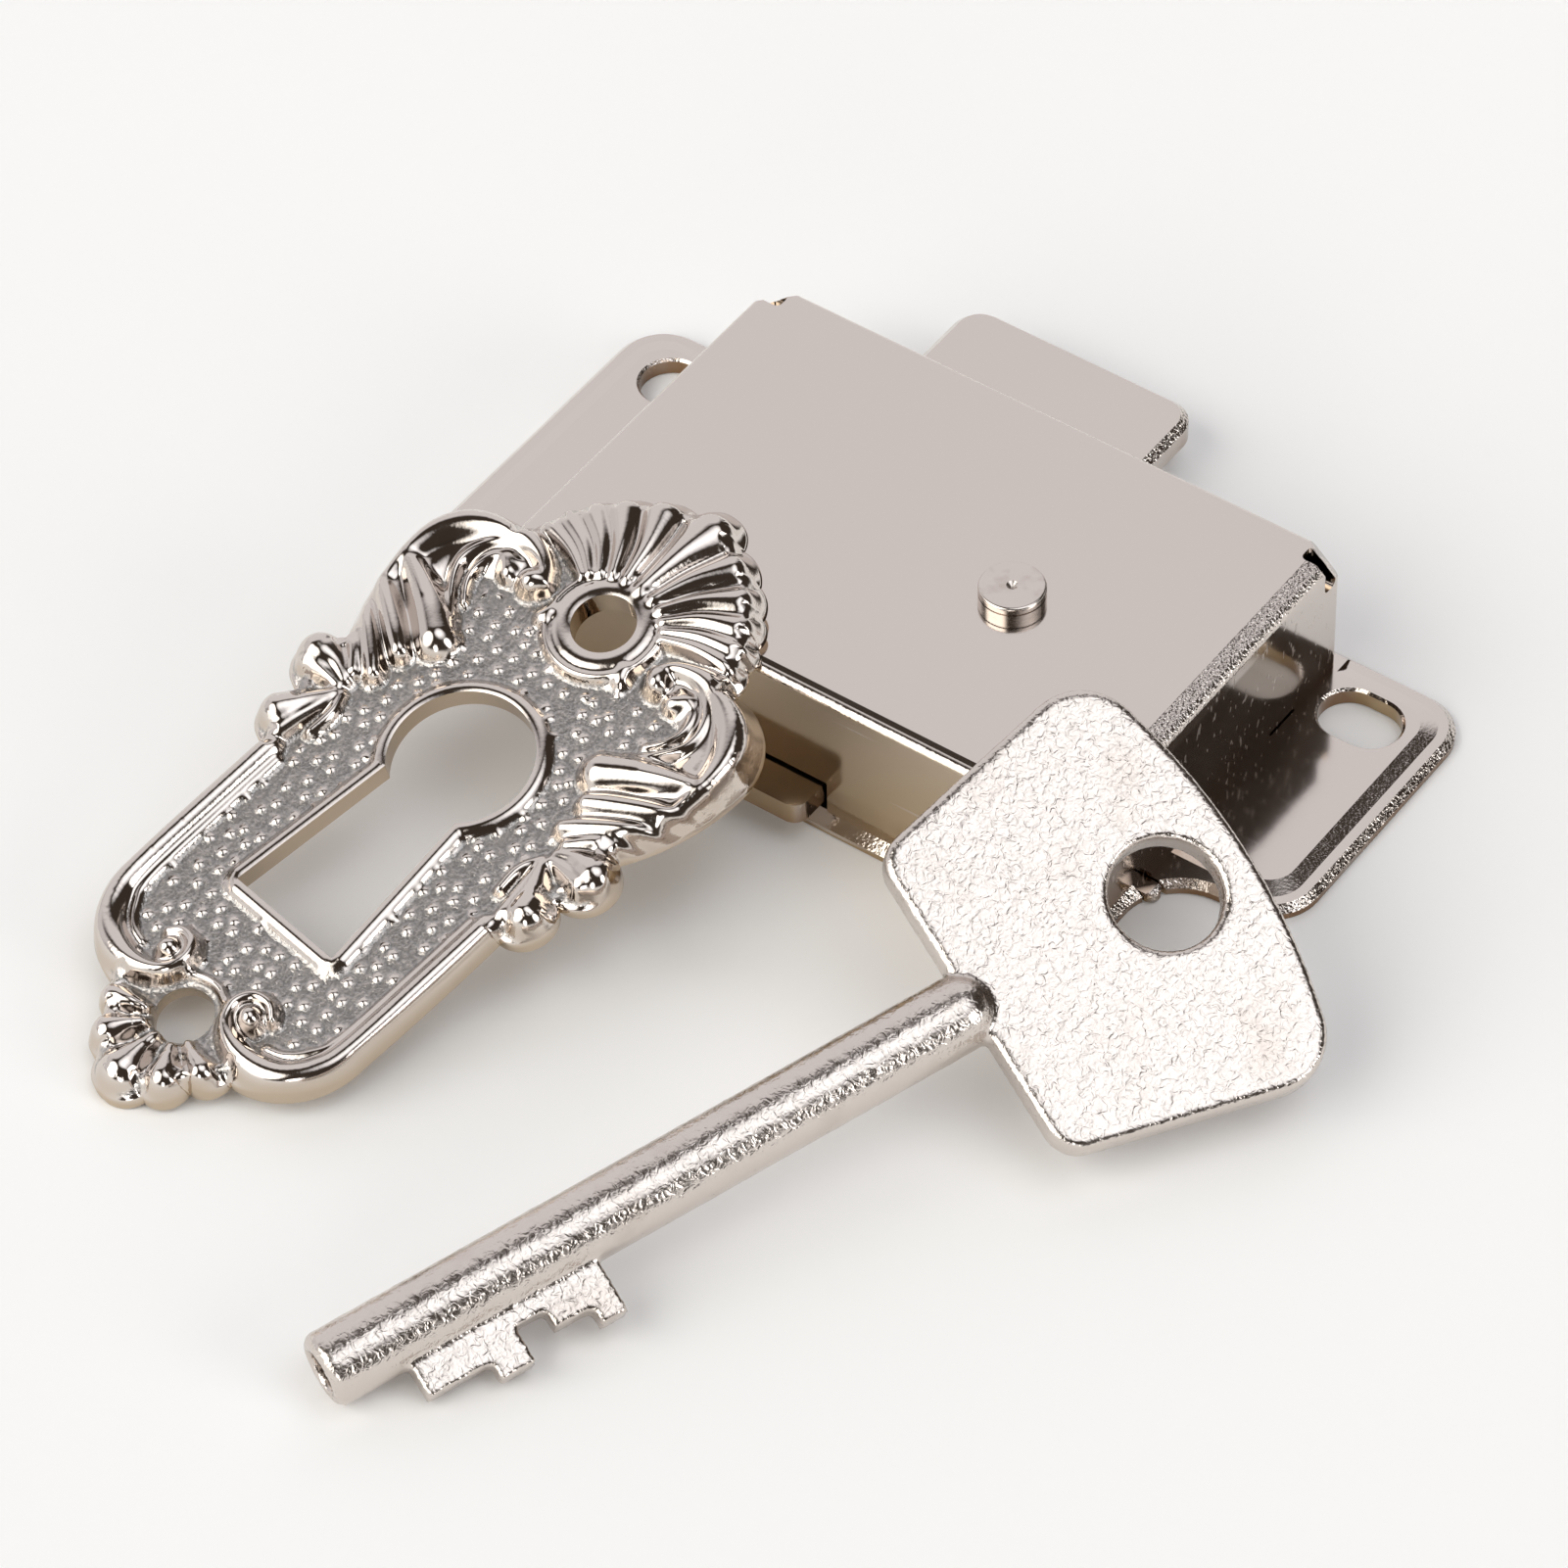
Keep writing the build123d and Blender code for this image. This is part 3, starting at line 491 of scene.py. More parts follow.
LEAF_WEB = ((14.6, 34.4, 2.1, .85), (13.6, 31.6, 2.3, .85), (12.6, 28.6, 1.9, .7))
LEAF_1 = ((16.4, 36.8, .9, 1.3), (13.9, 35.8, 1.35, 1.7), (11.0, 34.4, 1.75, 1.9), (8.8, 33.0, 1.95, 1.9))
LEAF_1_VEIN = ((14.8, 36.0, .35, 1.75), (13.0, 35.2, .4, 1.9), (11.6, 34.5, .35, 1.85))
LEAF_2 = ((16.3, 34.2, .8, 1.2), (13.9, 32.9, 1.15, 1.6), (11.4, 31.4, 1.3, 1.7), (10.0, 30.5, 1.15, 1.6))
LEAF_3 = ((15.7, 31.9, .7, 1.1), (13.5, 30.6, 1.0, 1.5), (11.3, 29.0, 1.15, 1.5), (10.1, 28.0, .95, 1.4))
LEAF_4 = ((14.8, 29.9, .6, 1.0), (12.9, 28.7, .85, 1.3), (11.3, 27.2, .8, 1.2))
SPRAY_B = ((14.5, 26.7, 1.95, 2.0), (12.9, 26.8, 1.2, 1.4), (11.2, 26.2, .6, 1.0))
SPRAY_B_LOW = ((14.4, 25.6, 1.2, 1.6), (12.9, 25.7, .9, 1.3), (11.2, 25.6, .5, .9))
SPRAY_A = ((13.1, 21.4, 1.8, 1.9), (12.3, 22.9, 1.2, 1.4), (11.1, 25.0, .6, 1.0))
SPRAY_A_IN = ((11.9, 20.3, .9, 1.3), (11.5, 22.2, .75, 1.2), (10.9, 24.6, .5, .9))
SPRAY_LEAF = ((10.1, 21.6, .55, .9), (10.0, 23.6, .6, 1.0), (10.6, 25.4, .4, .8))
RING_FOOT = ((3.9, 39.9, .9, 1.1), (4.1, 39.3, .9, 1.0))
SCROLL_BALL = ((6.5, 40.9, 1.25, 1.9), (6.7, 40.6, 1.25, 1.9))
SCROLL_CUP = ((9.5, 41.0, 1.0, 1.3), (8.7, 40.3, 1.05, 1.3))
VOLUTE_BALL = ((4.3, 2.8, 1.2, 1.9), (4.4, 2.7, 1.2, 1.9))
FAN = (
    ((0.0, 45.3, .9, 1.4), (0.0, 49.3, 1.5, 1.5), (0.0, 52.2, 2.2, 1.4)),
    ((1.35, 45.2, .7, 1.4), (2.3, 48.3, 1.15, 1.4), (3.7, 51.0, 1.7, 1.3)),
    ((2.4, 44.9, .65, 1.4), (4.0, 47.3, 1.05, 1.4), (6.1, 49.4, 1.6, 1.2)),
    ((3.2, 44.4, .6, 1.3), (5.2, 46.4, .95, 1.3), (7.8, 47.9, 1.45, 1.1)),
    ((3.8, 43.9, .5, 1.3), (6.1, 45.4, .85, 1.2), (9.0, 46.4, 1.2, 1.0)),
    ((4.2, 43.4, .45, 1.2), (6.6, 44.5, .7, 1.1), (9.5, 45.1, .95, .9)),
)
FOOT = (
    ((0.0, -2.7, .7, 1.2), (0.0, -4.4, 1.2, 1.6), (0.0, -5.9, 1.95, 1.9)),
    ((1.5, -2.4, .55, 1.2), (2.3, -3.5, 1.0, 1.5), (2.95, -4.4, 1.6, 1.7)),
    ((2.3, -1.5, .55, 1.2), (3.6, -2.0, .95, 1.5), (4.6, -2.4, 1.4, 1.6)),
)
FORMS = (
    SCROLL_WEB, LEAF_WEB, RIM, RIM_FILLET, SCROLL, SCROLL_INNER, SCROLL_THREAD, LEAF_1, LEAF_1_VEIN,
    LEAF_2, LEAF_3, LEAF_4, SPRAY_B, SPRAY_B_LOW, SPRAY_A, SPRAY_A_IN, SPRAY_LEAF, RING_FOOT, SCROLL_BALL,
    SCROLL_CUP, VOLUTE_BALL, *FAN, *FOOT,
)
# No form reaches farther than this from the middle of one of its parts
REACH = 3.2
# Power of the forms' round section: 0.5 is a half ellipse, 1 a parabola
ROUNDNESS = 0.8
# Forms whose heights differ by less than this run together in a fillet
JOIN = 0.45
# Lips round the holes: place of the crest, half width and height. The keyhole's lip and the upper ring are
# placed from the hole's edge, the ring's halo and the foot arc from its centre.
LIP = (0.4, 0.85, 0.7)
RING = (0.6, 1.5, 1.0)
RING_HALO = (4.3, 0.5, 0.9)
FOOT_ARC = (3.1, 0.4, 0.8)
# The foot arc runs where the rise over the distance from the lower hole is more than this
FOOT_ARC_START = 0.4
# The relief rolls down to the outline: width and drop of the roll on the lower and on the upper half, and
# the heights between which the one turns into the other
EDGE_LOW = (0.35, 0.3)
EDGE_HIGH = (1.6, 1.0)
EDGE_CHANGE = (26.5, 31.0)
# The ground is bare up to this height. A groove between two forms starts at the first height over the
# ground and counts in full this much higher.
BARE = 0.25
GROOVE_START = 0.35
GROOVE_RISE = 0.8
# Beads stand on the bare ground between two heights of the plate, up to half a width that changes once
BEAD_FIELD = (3.0, 38.8)
BEAD_HALF_WIDTH = 10.0
BEAD_HALF_WIDTH_ABOVE = (33, 9.2)
BEAD_GRID = ((-15.0, 15.0), (1.0, 44.0))
# Height of a bead in its radii, and the most that it is moved, in pitches
BEAD_HEIGHT = 0.75
BEAD_SHIFT = 0.28
# The mesh's inner points: their field, and how far they stay clear of the rows beside an edge, in steps
MESH_FIELD = ((-17.4, 17.4), (-8.2, 54.8))
ROW_CLEARANCE = 0.6
# Edges that turn by more degrees than this stay sharp
CAST_SHARP = 55


def arc(start, middle, end, step):
    """Points after start, up to end, on the circle through the three."""
    (ax, ay), (bx, by), (cx, cy) = start, middle, end
    a, b, c = ax * ax + ay * ay, bx * bx + by * by, cx * cx + cy * cy
    d = 2 * (ax * (by - cy) + bx * (cy - ay) + cx * (ay - by))
    ux = (a * (by - cy) + b * (cy - ay) + c * (ay - by)) / d
    uy = (a * (cx - bx) + b * (ax - cx) + c * (bx - ax)) / d
    radius = hypot(ax - ux, ay - uy)
    first, mid, last = (atan2(y - uy, x - ux) for x, y in (start, middle, end))
    turn = (last - first) % tau
    if (mid - first) % tau > turn:
        turn -= tau
    count = max(2, ceil(abs(turn) * radius / step))
    angles = [first + turn * i / count for i in range(1, count + 1)]
    return [(ux + radius * cos(angle), uy + radius * sin(angle)) for angle in angles]


def line(start, end, step):
    """Points after start, up to end."""
    count = max(1, ceil(hypot(end[0] - start[0], end[1] - start[1]) / step))
    return [tuple(a + (b - a) * i / count for a, b in zip(start, end)) for i in range(1, count + 1)]


def circle(centre_y, radius, step):
    """Points round a circle whose middle lies on the Y axis."""
    count = ceil(tau * radius / step)
    angles = [tau * i / count for i in range(count)]
    return [(radius * cos(angle), centre_y + radius * sin(angle)) for angle in angles]


def loops(step):
    """The outline and the three holes as closed loops of points."""
    right = [START]
    for middle, end in OUTLINE_ARCS:
        right += arc(right[-1], middle, end, step)
    left = [(-x, y) for x, y in reversed(right[1:-1])]
    centre_y, radius = KEYHOLE_ROUND
    shoulder, foot = KEYHOLE_SHOULDER, KEYHOLE_FOOT
    keyhole = [(-foot[0], foot[1])]
    keyhole += line(keyhole[-1], foot, step)
    keyhole += line(foot, shoulder, step)
    keyhole += arc(shoulder, (0.0, centre_y + radius), (-shoulder[0], shoulder[1]), step)
    keyhole += line((-shoulder[0], shoulder[1]), (-foot[0], foot[1]), step)[:-1]
    return [right + left, keyhole, circle(*UPPER_HOLE, step), circle(*LOWER_HOLE, step)]


def distance_to(loop, x, y):
    """Least distance from each point to a closed loop."""
    least = np.full(x.shape, 1e9)
    for (ax, ay), (bx, by) in zip(loop, loop[1:] + loop[:1]):
        dx, dy = bx - ax, by - ay
        along = np.clip(((x - ax) * dx + (y - ay) * dy) / (dx * dx + dy * dy), 0, 1)
        least = np.minimum(least, np.hypot(x - ax - along * dx, y - ay - along * dy))
    return least


def smooth_path(places, parts=6):
    """Places along a Catmull-Rom curve through the given ones."""
    p = np.array(places, float)
    padded = np.vstack([2 * p[0] - p[1], p, 2 * p[-1] - p[-2]])
    path = [p[0]]
    for a, b, c, d in zip(padded, padded[1:], padded[2:], padded[3:]):
        square, cube = 2 * a - 5 * b + 4 * c - d, 3 * b - a - 3 * c + d
        for t in np.linspace(0, 1, parts + 1)[1:]:
            path.append(0.5 * (2 * b + (c - a) * t + square * t ** 2 + cube * t ** 3))
    return np.array(path)


def form_height(places, x, y):
    """Height of one raised form over the ground: round across, from its middle out to its half width."""
    height = np.zeros(x.shape)
    path = smooth_path(places)
    for (ax, ay, aw, ah), (bx, by, bw, bh) in zip(path, path[1:]):
        near = (np.abs(x - (ax + bx) / 2) < REACH) & (np.abs(y - (ay + by) / 2) < REACH)
        px, py = x[near], y[near]
        dx, dy = bx - ax, by - ay
        along = np.clip(((px - ax) * dx + (py - ay) * dy) / (dx * dx + dy * dy), 0, 1)
        off = np.hypot(px - ax - along * dx, py - ay - along * dy) / (aw + along * (bw - aw))
        crest = ah + along * (bh - ah)
        height[near] = np.maximum(height[near], crest * np.clip(1 - off * off, 0, 1) ** ROUNDNESS)
    return height


def ridge(distance, middle, half_width, height):
    """Height of a lip that runs round a hole, by the distance from the hole's edge or middle."""
    off = (distance - middle) / half_width
    return height * np.clip(1 - off * off, 0, 1) ** ROUNDNESS


def joined(first, second):
    """The higher of two heights, with a soft fillet where they meet."""
    fillet = np.clip(JOIN - np.abs(first - second), 0, None) ** 2 / (4 * JOIN)
    return np.maximum(first, second) + fillet * np.clip(np.minimum(first, second) / JOIN, 0, 1)


def bead_places(sizes):
    """Beads on a loose triangular pattern, each moved a little."""
    random = np.random.default_rng(sizes.seed)
    across, up = BEAD_GRID
    places = []
    for row, y in enumerate(np.arange(*up, sizes.bead_pitch * sqrt(3) / 2)):
        for x in np.arange(*across, sizes.bead_pitch):
            places.append((x + (row % 2) * sizes.bead_pitch / 2, y))
    shift = random.uniform(-BEAD_SHIFT, BEAD_SHIFT, (len(places), 2)) * sizes.bead_pitch
    return np.array(places) + shift


def bead_height(x, y, sizes):
    """Height of the beads, as if they stood everywhere."""
    height = np.zeros(x.shape)
    radius = sizes.bead_size / 2
    for bx, by in bead_places(sizes):
        near = (np.abs(x - bx) < radius) & (np.abs(y - by) < radius)
        off = np.hypot(x[near] - bx, y[near] - by) / radius
        dome = BEAD_HEIGHT * radius * np.sqrt(np.clip(1 - off * off, 0, 1))
        height[near] = np.maximum(height[near], dome)
    return height


def relief(x, y, edges, sizes):
    """Height, share of bare ground and depth of groove at each point."""
    half = np.abs(x)
    outline, keyhole, upper, lower = [distance_to(loop, x, y) for loop in edges]
    raised = np.zeros(x.shape)
    second = np.zeros(x.shape)
    for form in FORMS:
        height = form_height(form, half, y)
        second = np.maximum(second, np.minimum(height, raised))
        raised = joined(raised, height)
    from_upper = np.hypot(x, y - UPPER_HOLE[0])
    from_lower = np.hypot(x, y)
    above_lower = y > FOOT_ARC_START * from_lower
    rings = np.maximum.reduce([
        ridge(keyhole, *LIP),
        ridge(upper, *RING),
        ridge(from_upper, *RING_HALO),
        ridge(from_lower, *FOOT_ARC) * above_lower,
    ])
    raised = joined(raised, rings)
    bare = np.clip(1 - raised / BARE, 0, 1)
    deep = np.clip((second - GROOVE_START) / GROOVE_RISE, 0, 1)
    groove = deep * np.clip(1 - (raised - second) / BARE, 0, 1)
    change, width_above = BEAD_HALF_WIDTH_ABOVE
    low, high = BEAD_FIELD
    field = (y > low) & (y < high) & (half < np.where(y > change, width_above, BEAD_HALF_WIDTH))
    beads = bead_height(x, y, sizes) * (field & (bare > 0.99))
    top = np.maximum(raised, beads)
    low, high = EDGE_CHANGE
    share = np.clip((y - low) / (high - low), 0, 1)
    width, drop = [a + (b - a) * share for a, b in zip(EDGE_LOW, EDGE_HIGH)]
    edge = 1 - (1 - np.clip(outline / width, 0, 1)) ** 2
    # The beads and the roll are polished, so they aren't ground
    ground = bare * (outline > width) * (beads < 0.02)
    return (top + drop) * edge - drop, ground, groove * edge ** 4


def rows_beside(loop, side, step, count):
    """Rows of points that follow a loop, on its inner side for 1 and on its outer side for -1."""
    points = np.array(loop)
    along = np.roll(points, -1, 0) - np.roll(points, 1, 0)
    across = np.column_stack([-along[:, 1], along[:, 0]]) / np.hypot(*along.T)[:, None] * side
    rows = []
    for i in range(1, count + 1):
        row = points + across * step * i
        if i % 2:
            row = (row + np.roll(row, -1, 0)) / 2
        rows.append(row[distance_to(loop, row[:, 0], row[:, 1]) > step * (i - 0.1)])
    return np.vstack(rows)


def softened(height, corners, fixed, turns):
    """Heights averaged with their neighbours', apart from the first ones."""
    for _ in range(turns):
        total, count = np.zeros(len(height)), np.zeros(len(height))
        for i in range(3):
            np.add.at(total, corners[:, i], height[corners[:, i - 1]] + height[corners[:, i - 2]])
            np.add.at(count, corners[:, i], 2)
        height = np.where(np.arange(len(height)) < fixed, height, 0.5 * height + 0.5 * total / count)
    return height


def triangles(points, edges, holes):
    """A flat triangle mesh of the points inside the outline and outside the holes."""
    # Output type 1 keeps only what lies inside the outline
    made, _, faces, *_ = delaunay_2d_cdt([Vector(p) for p in points], edges, [], 1, 1e-6)
    flat = np.array([tuple(v) for v in made])
    corners = np.array(faces)
    middle = flat[corners].mean(axis=1)
    keep = np.ones(len(corners), bool)
    for hole in holes:
        keep &= ~inside(hole, middle)
    return flat, corners[keep]


def inside(loop, points):
    """Which points lie inside a closed loop."""
    x, y = points[:, 0], points[:, 1]
    within = np.zeros(len(points), bool)
    for (ax, ay), (bx, by) in zip(loop, loop[1:] + loop[:1]):
        if ay != by:
            within ^= ((ay > y) != (by > y)) & (x < (bx - ax) * (y - ay) / (by - ay) + ax)
    return within


def escutcheon_mesh(sizes):
    """The relief on its front, flat behind, with straight walls round the outline and the holes."""
    step = sizes.step
    edges = loops(step)
    points, rim = [], []
    for loop in edges:
        first = len(points)
        points += loop
        rim += [(first + i, first + (i + 1) % len(loop)) for i in range(len(loop))]
    count = len(points)
    across, up = MESH_FIELD
    xs, ys = np.meshgrid(np.arange(*across, step), np.arange(*up, step * sqrt(3) / 2))
    xs[1::2] += step / 2
    grid = np.stack([xs.ravel(), ys.ravel()], 1)
    grid = grid[inside(edges[0], grid)]
    rows = []
    for loop in edges:
        outer = loop is edges[0]
        if not outer:
            grid = grid[~inside(loop, grid)]
        far = distance_to(loop, grid[:, 0], grid[:, 1]) > step * (sizes.rows + ROW_CLEARANCE)
        grid = grid[far]
        rows.append(rows_beside(loop, 1 if outer else -1, step, sizes.rows))
    grid = np.vstack([grid, *rows])
    flat, corners = triangles(points + [tuple(p) for p in grid], rim, edges[1:])
    height, ground, groove = relief(flat[:, 0], flat[:, 1], edges, sizes)
    height = softened(height, corners, count, sizes.softness)
    back, back_corners = triangles(points, rim, edges[1:])
    if len(back) != count or np.abs(flat[:count] - back).max() > 1e-4:
        raise RuntimeError("the escutcheon's front and back don't share their edge points")
    front = np.column_stack([flat, height])
    behind = np.column_stack([back, np.full(count, -sizes.thickness)])
    offset = len(front)
    faces = [tuple(int(i) for i in c) for c in corners]
    faces += [tuple(int(i) + offset for i in reversed(c)) for c in back_corners]
    for a, b in rim:
        faces.append((a, b, b + offset, a + offset))
    mesh = bpy.data.meshes.new("escutcheon relief")
    mesh.from_pydata(np.vstack([front, behind]).tolist(), [], faces)
    for name, values in (("ground", ground), ("groove", groove)):
        attribute = mesh.attributes.new(name, "FLOAT", "POINT")
        attribute.data.foreach_set("value", np.concatenate([values, np.zeros(count)]).astype(np.float32))
    return mesh


def finish_mesh(mesh, matrix, sharp):
    """Puts a mesh in its place, turns its faces outward and shades it smooth between its sharp edges."""
    mesh.transform(matrix)
    mesh.update()
    fix = bpy.data.objects.new("fix", mesh)
    bpy.context.scene.collection.objects.link(fix)
    bpy.context.view_layer.objects.active = fix
    fix.select_set(True)
    bpy.ops.object.mode_set(mode="EDIT")
    bpy.ops.mesh.select_all(action="SELECT")
    bpy.ops.mesh.normals_make_consistent(inside=False)
    bpy.ops.object.mode_set(mode="OBJECT")
    bpy.data.objects.remove(fix)
    mesh.shade_smooth()
    mesh.set_sharp_from_angle(angle=radians(sharp))


# Cover

# A slot opens the end of each side fold. Its two corners are measured in millimetres from the cover's far
# top corner, X outward, Y to the far side and Z up; the radius of its edges is in millimetres too.
CORNER_SLOT = ((-2.2, -2.3, -2.6), (1.0, -0.9, 1.0))
CORNER_SLOT_ROUND = 0.45
CORNER_SLOT_FACETS = 5
# Edges that turn by more degrees than this stay sharp
SHEET_SHARP = 30


def slot_cutter(corner, side):
    """A box with rounded edges at one far top corner; side is 1 for the right and -1 for the left."""
    low, high = (Vector(place) for place in CORNER_SLOT)
    shape = bmesh.new()
    bmesh.ops.create_cube(shape, size=1.0)
    bmesh.ops.scale(shape, vec=high - low, verts=shape.verts)
    bmesh.ops.bevel(
        shape, geom=shape.edges[:], offset=CORNER_SLOT_ROUND, offset_type="OFFSET",
        segments=CORNER_SLOT_FACETS, profile=0.5, affect="EDGES"
    )
    if side < 0:
        bmesh.ops.reverse_faces(shape, faces=shape.faces[:])
    for vertex in shape.verts:
        place = (low + high) / 2 + vertex.co
        vertex.co = corner + Vector((place.x * side, place.y, place.z)) * MM
    mesh = bpy.data.meshes.new("slot cutter")
    shape.to_mesh(mesh)
    shape.free()
    return mesh


def slotted_cover(context):
    """The CAD cover with the two slots cut through its sheet."""
    mesh = frame["nodes"]["cover"].data.copy()
    shape = bmesh.new()
    shape.from_mesh(mesh)
    bmesh.ops.remove_doubles(shape, verts=shape.verts, dist=1e-7)
    shape.to_mesh(mesh)
    shape.free()
    low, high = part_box("cover")
    for side in (1, -1):
        # The right wall stands as far out as the left one; a smaller form takes the cover's box past it
        corner = Vector((-low[0] * side, high[1], high[2]))
        cutter = bpy.data.objects.new("slot cutter", slot_cutter(corner, side))
        context.scene.collection.objects.link(cutter)
        mesh = modified(context, mesh, "BOOLEAN", operation="DIFFERENCE", solver="EXACT", object=cutter)
        bpy.data.objects.remove(cutter)
    mesh.shade_smooth()
    mesh.set_sharp_from_angle(angle=radians(SHEET_SHARP))
    return modified(context, mesh, "WEIGHTED_NORMAL", keep_sharp=True)


# Studio

# Panels: direction from the lock, half angle and soft edge in degrees, colour and strength
PANELS = (
    ((-0.93, -0.22, 0.30), 22, 8, "#F6F4F7", 0.85),
    ((-0.62, 0.62, 0.48), 40, 6, "#F6F4F7", 0.95),
    ((-0.35, -0.75, 0.56), 29, 5, "#FFFDF8", 3.0),
    ((0.42, 0.05, 0.91), 17, 14, "#F9FBFF", 2.0),
    ((0.90, 0.10, 0.35), 13, 3, "#FFFFFF", 4.0),
    ((0.50, -0.85, 0.20), 9, 2, "#FFFFFF", 4.0),
)
# The white horizon turns into the dark studio between these heights, where 0 is level and 1 straight up
HORIZON = (0.04, 0.13)
HORIZON_COLOUR = "#FFFFFF"
STUDIO_COLOUR = "#403832"
# Half the floor's width in metres, and how far it lies below the plate in millimetres, so that they don't
# flicker
FLOOR_HALF = 3.0
FLOOR_GAP = 0.1
# Width of the camera's frame in millimetres, and the nearest and farthest that it sees in metres
FRAME_WIDTH = 36.0
NEAREST = 0.01
FARTHEST = 20.0


# Operators

class LOCK_OT_stage(bpy.types.Operator):
    """Makes the camera, the soft studio light and the pale floor"""
    bl_idname = "lock.stage"
    bl_label = "Studio"

    def execute(self, context):
        view = context.scene.lock_camera
        a, e, r = radians(view.azimuth), radians(view.elevation), radians(view.roll)
        back = Vector((sin(a) * cos(e), -cos(a) * cos(e), sin(e)))
        level = Vector((cos(a), sin(a), 0.0))
        rise = back.cross(level)
        right = level * cos(r) + rise * sin(r)
        up = rise * cos(r) - level * sin(r)
        camera = bpy.data.objects.new("camera", bpy.data.cameras.new("camera"))
        camera.data.lens, camera.data.sensor_width = view.lens, FRAME_WIDTH
        camera.data.clip_start, camera.data.clip_end = NEAREST, FARTHEST
        turn = Matrix((right, up, back)).transposed().to_4x4()
        camera.matrix_world = Matrix.Translation(Vector(view.aim) + back * view.distance) @ turn
        context.scene.collection.objects.link(camera)
        context.scene.camera = camera
        context.scene.view_settings.view_transform = "Standard"
        self.floor(context)
        self.sky(context)
        return {"FINISHED"}

    def floor(self, context):
        """A matt white card, large enough to fill the picture."""
        half = FLOOR_HALF
        corners = [(-half, -half, 0), (half, -half, 0), (half, half, 0), (-half, half, 0)]
        mesh = bpy.data.meshes.new("floor")
        mesh.from_pydata(corners, [], [(0, 1, 2, 3)])
        floor = bpy.data.objects.new("floor", mesh)
        floor.location.z = -FLOOR_GAP * MM
        context.scene.collection.objects.link(floor)
        material, tree = new_material("matt white card")
        colour = linear(context.scene.lock_finish.floor)
        shader = add(tree, "BsdfPrincipled", {"Base Color": colour, "Roughness": 0.8})
        add(tree, "OutputMaterial", {"Surface": shader})
        mesh.materials.append(material)

    def sky(self, context):
        """A dark studio with a white horizon and soft round panels, each seen in one direction."""
        world = bpy.data.worlds.new("studio")
        context.scene.world = world
        world.use_nodes = True
        tree = world.node_tree
        tree.nodes.clear()
        direction = add(tree, "TexCoord").outputs["Generated"]
        height = add(tree, "SeparateXYZ", (direction,)).outputs["Z"]
        above = add(tree, "MapRange", (height, *HORIZON))
        horizon, studio = linear(HORIZON_COLOUR), linear(STUDIO_COLOUR)
        colour = add(tree, "Mix", (above, horizon, studio), data_type="RGBA")
        for aim, half_angle, soft, hex_colour, strength in PANELS:
            aim = Vector(aim).normalized()
            towards = add(tree, "VectorMath", (direction, aim), operation="DOT_PRODUCT")
            outer, inner = (cos(radians(half_angle + change)) for change in (soft, -soft))
            within = add(tree, "MapRange", (towards, outer, inner))
            light = (*[channel * strength for channel in linear(hex_colour)[:3]], 1.0)
            colour = add(tree, "Mix", (within, colour, light), data_type="RGBA")
        strength = context.scene.lock_light.strength
        background = add(tree, "Background", {"Color": colour, "Strength": strength})
        add(tree, "OutputWorld", {"Surface": background})


class LOCK_OT_case(bpy.types.Operator):
    """Dresses the mounting plate, the cover, the drill pin and the bolt"""
    bl_idname = "lock.case"
    bl_label = "Case and bolt"

    def execute(self, context):
        sheet = plated_sheet()
        for node in ("mounting_plate", "bolt"):
            dress(node, sheet)
        cover = link("slotted_cover", slotted_cover(context), "case", sheet)
        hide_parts("cover")
        dress("drill_pin", turned_nickel())
        return {"FINISHED"}


class LOCK_OT_works(bpy.types.Operator):
    """Dresses the levers, their springs, posts and washers inside the case"""
    bl_idname = "lock.works"
    bl_label = "Works"

    def execute(self, context):
        colours = context.scene.lock_finish
        brass = plain_metal("aged brass sheet", colours.brass, 0.28, 0.42)
        steel = plain_metal("bare steel", colours.steel, 0.25, 0.4)
        for node in frame["nodes"]:
            if node.startswith("lever_spring") or node in ("lever_post", "spring_stop", "bolt_stump"):
                dress(node, steel)
            elif node.startswith("lever"):
                dress(node, brass)
        return {"FINISHED"}


class LOCK_OT_escutcheon(bpy.types.Operator):
    """Makes the escutcheon's relief: the rim, the lips, scrolls, leaves, sprays, beads and the fan"""
    bl_idname = "lock.escutcheon"
    bl_label = "Escutcheon"

    def execute(self, context):
        sizes = context.scene.lock_escutcheon
        lower, upper = MOUNTS["escutcheon_lower_hole"], MOUNTS["escutcheon_upper_hole"]
        front = Vector(lower["axis"])
        origin = Vector(lower["pos_m"]) + front * (sizes.thickness - lower["dims"]["length_mm"] / 2) * MM
        matrix = frame_from(origin, Vector(upper["pos_m"]) - Vector(lower["pos_m"]), front)
        mesh = escutcheon_mesh(sizes)
        finish_mesh(mesh, matrix, CAST_SHARP)
        piece = link("escutcheon_relief", mesh, "escutcheon", cast_nickel())
        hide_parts("escutcheon")
        return {"FINISHED"}


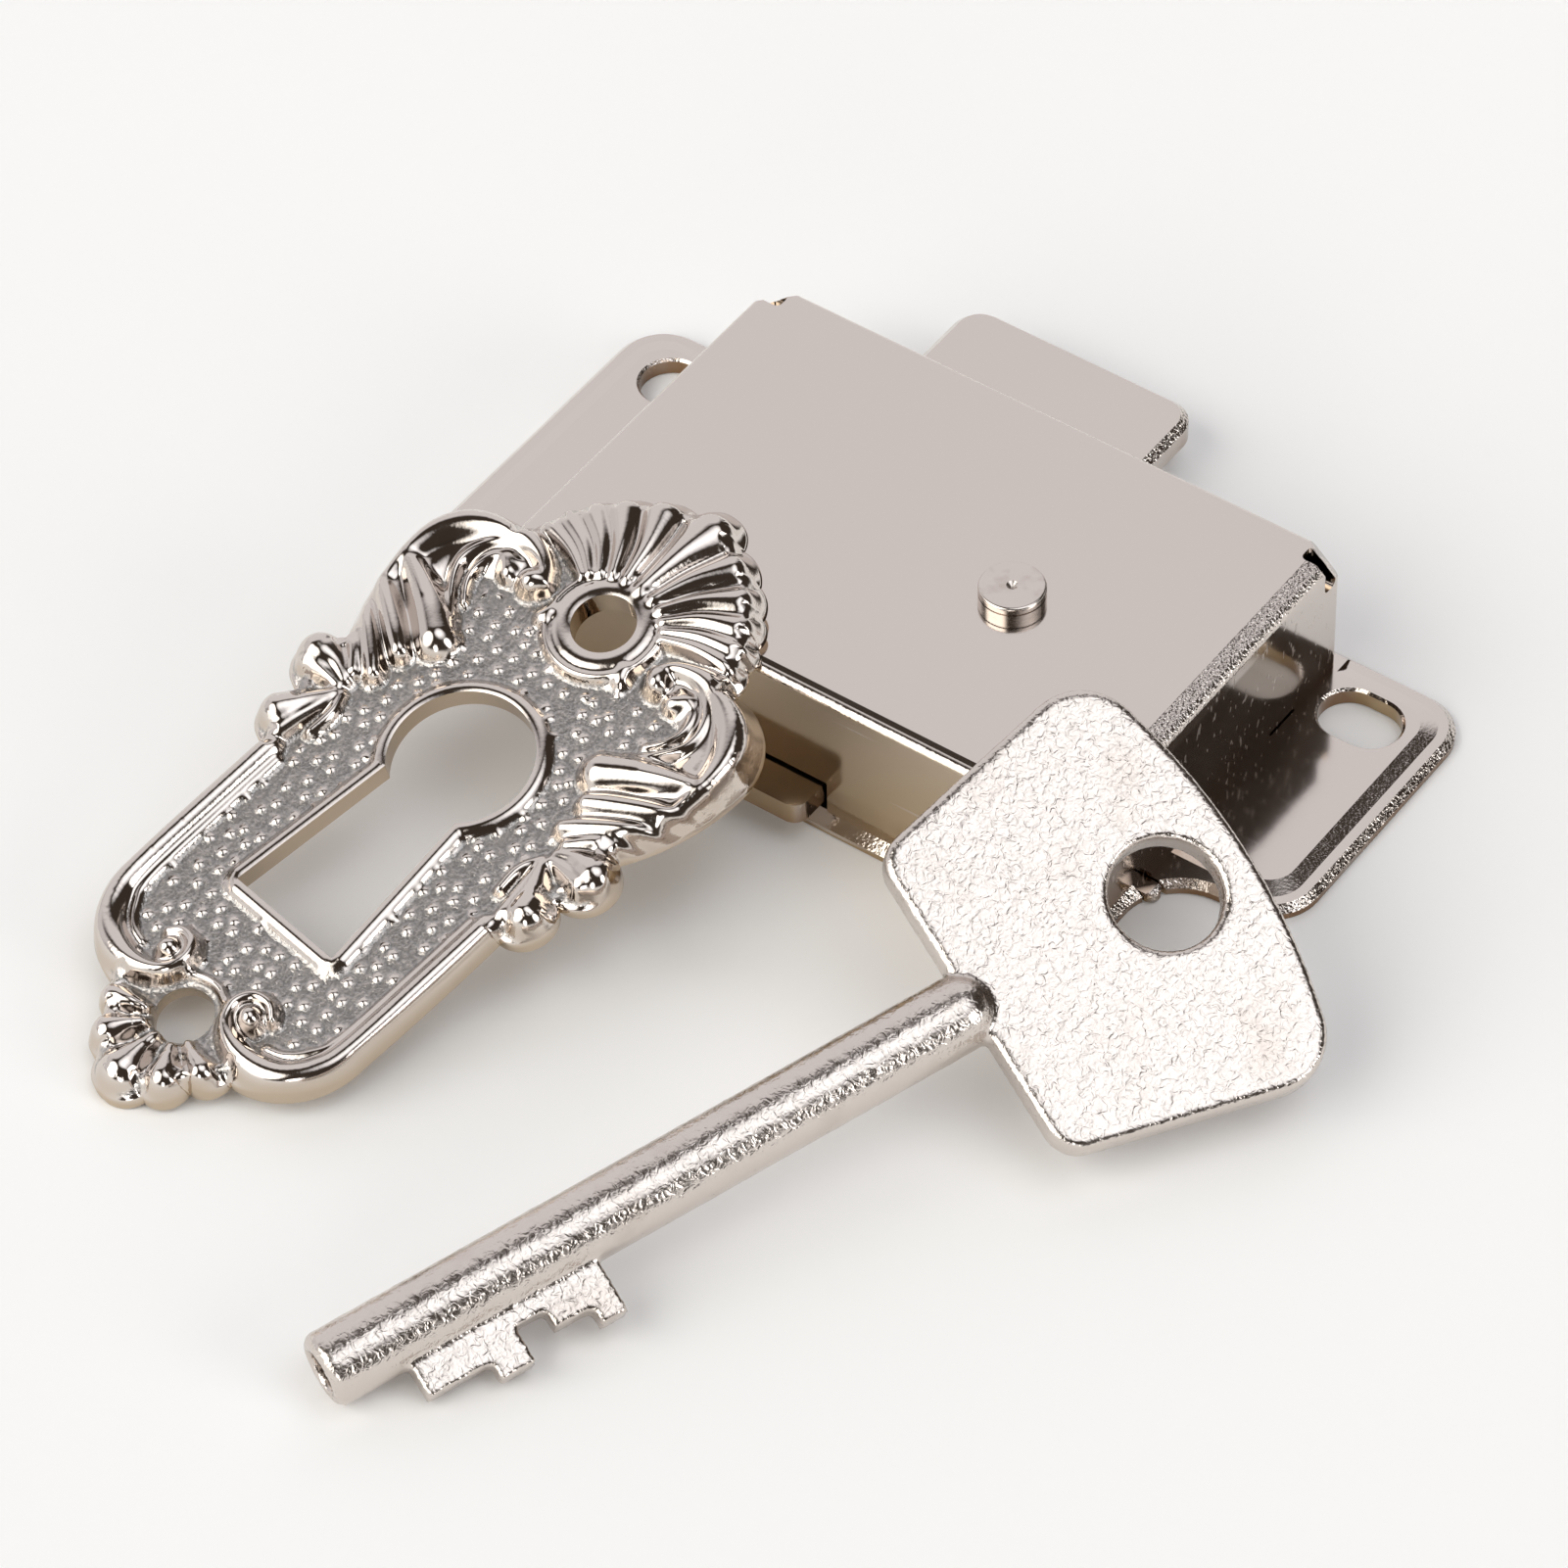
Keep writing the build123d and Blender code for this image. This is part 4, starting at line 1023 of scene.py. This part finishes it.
class LOCK_OT_key(bpy.types.Operator):
    """Makes the cast key: the CAD shape with worn edges and a wrinkled skin"""
    bl_idname = "lock.key"
    bl_label = "Key"

    def execute(self, context):
        sizes = context.scene.lock_key
        mesh = frame["nodes"]["key"].data.copy()
        mesh = modified(context, mesh, "REMESH", mode="VOXEL", voxel_size=sizes.voxel * MM)
        mesh = modified(context, mesh, "SMOOTH", factor=0.5, iterations=2)
        normals = [vertex.normal.copy() for vertex in mesh.vertices]
        # Two sets of folds, the second about half as wide and half as deep
        for vertex, normal in zip(mesh.vertices, normals):
            place = vertex.co / (sizes.pitch * MM)
            fold = abs(noise.noise(place)) + 0.5 * abs(noise.noise(place * 2.1))
            vertex.co -= normal * (0.5 - fold) * sizes.wrinkle * MM
        mesh.shade_smooth()
        piece = link("cast_key", mesh, "key", wrinkled_nickel())
        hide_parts("key")
        return {"FINISHED"}


class LOCK_PT_panel(bpy.types.Panel):
    """Lists the lock's operators"""
    bl_idname = "LOCK_PT_panel"
    bl_label = "Cabinet lock"
    bl_space_type = "VIEW_3D"
    bl_region_type = "UI"
    bl_category = "Lock"

    def draw(self, context):
        for operator in OPERATORS:
            self.layout.operator(operator.bl_idname)
        for name in GROUPS:
            box = self.layout.box()
            group = getattr(context.scene, name)
            for prop in group.__annotations__:
                box.prop(group, prop)


GROUPS = {
    "lock_camera": LockCamera,
    "lock_finish": LockFinish,
    "lock_light": LockLight,
    "lock_escutcheon": EscutcheonSizes,
    "lock_key": KeySizes,
}
OPERATORS = (LOCK_OT_stage, LOCK_OT_case, LOCK_OT_works, LOCK_OT_escutcheon, LOCK_OT_key)


def register():
    for group in GROUPS.values():
        bpy.utils.register_class(group)
    for name, group in GROUPS.items():
        setattr(bpy.types.Scene, name, PointerProperty(type=group))
    for operator in OPERATORS:
        bpy.utils.register_class(operator)
    bpy.utils.register_class(LOCK_PT_panel)


def unregister():
    bpy.utils.unregister_class(LOCK_PT_panel)
    for operator in reversed(OPERATORS):
        bpy.utils.unregister_class(operator)
    for name in GROUPS:
        delattr(bpy.types.Scene, name)
    for group in GROUPS.values():
        bpy.utils.unregister_class(group)


def main():
    register()
    bpy.ops.lock.stage()
    bpy.ops.lock.case()
    bpy.ops.lock.works()
    bpy.ops.lock.escutcheon()
    bpy.ops.lock.key()
    bpy.context.view_layer.update()


if __name__ == "__main__":
    main()
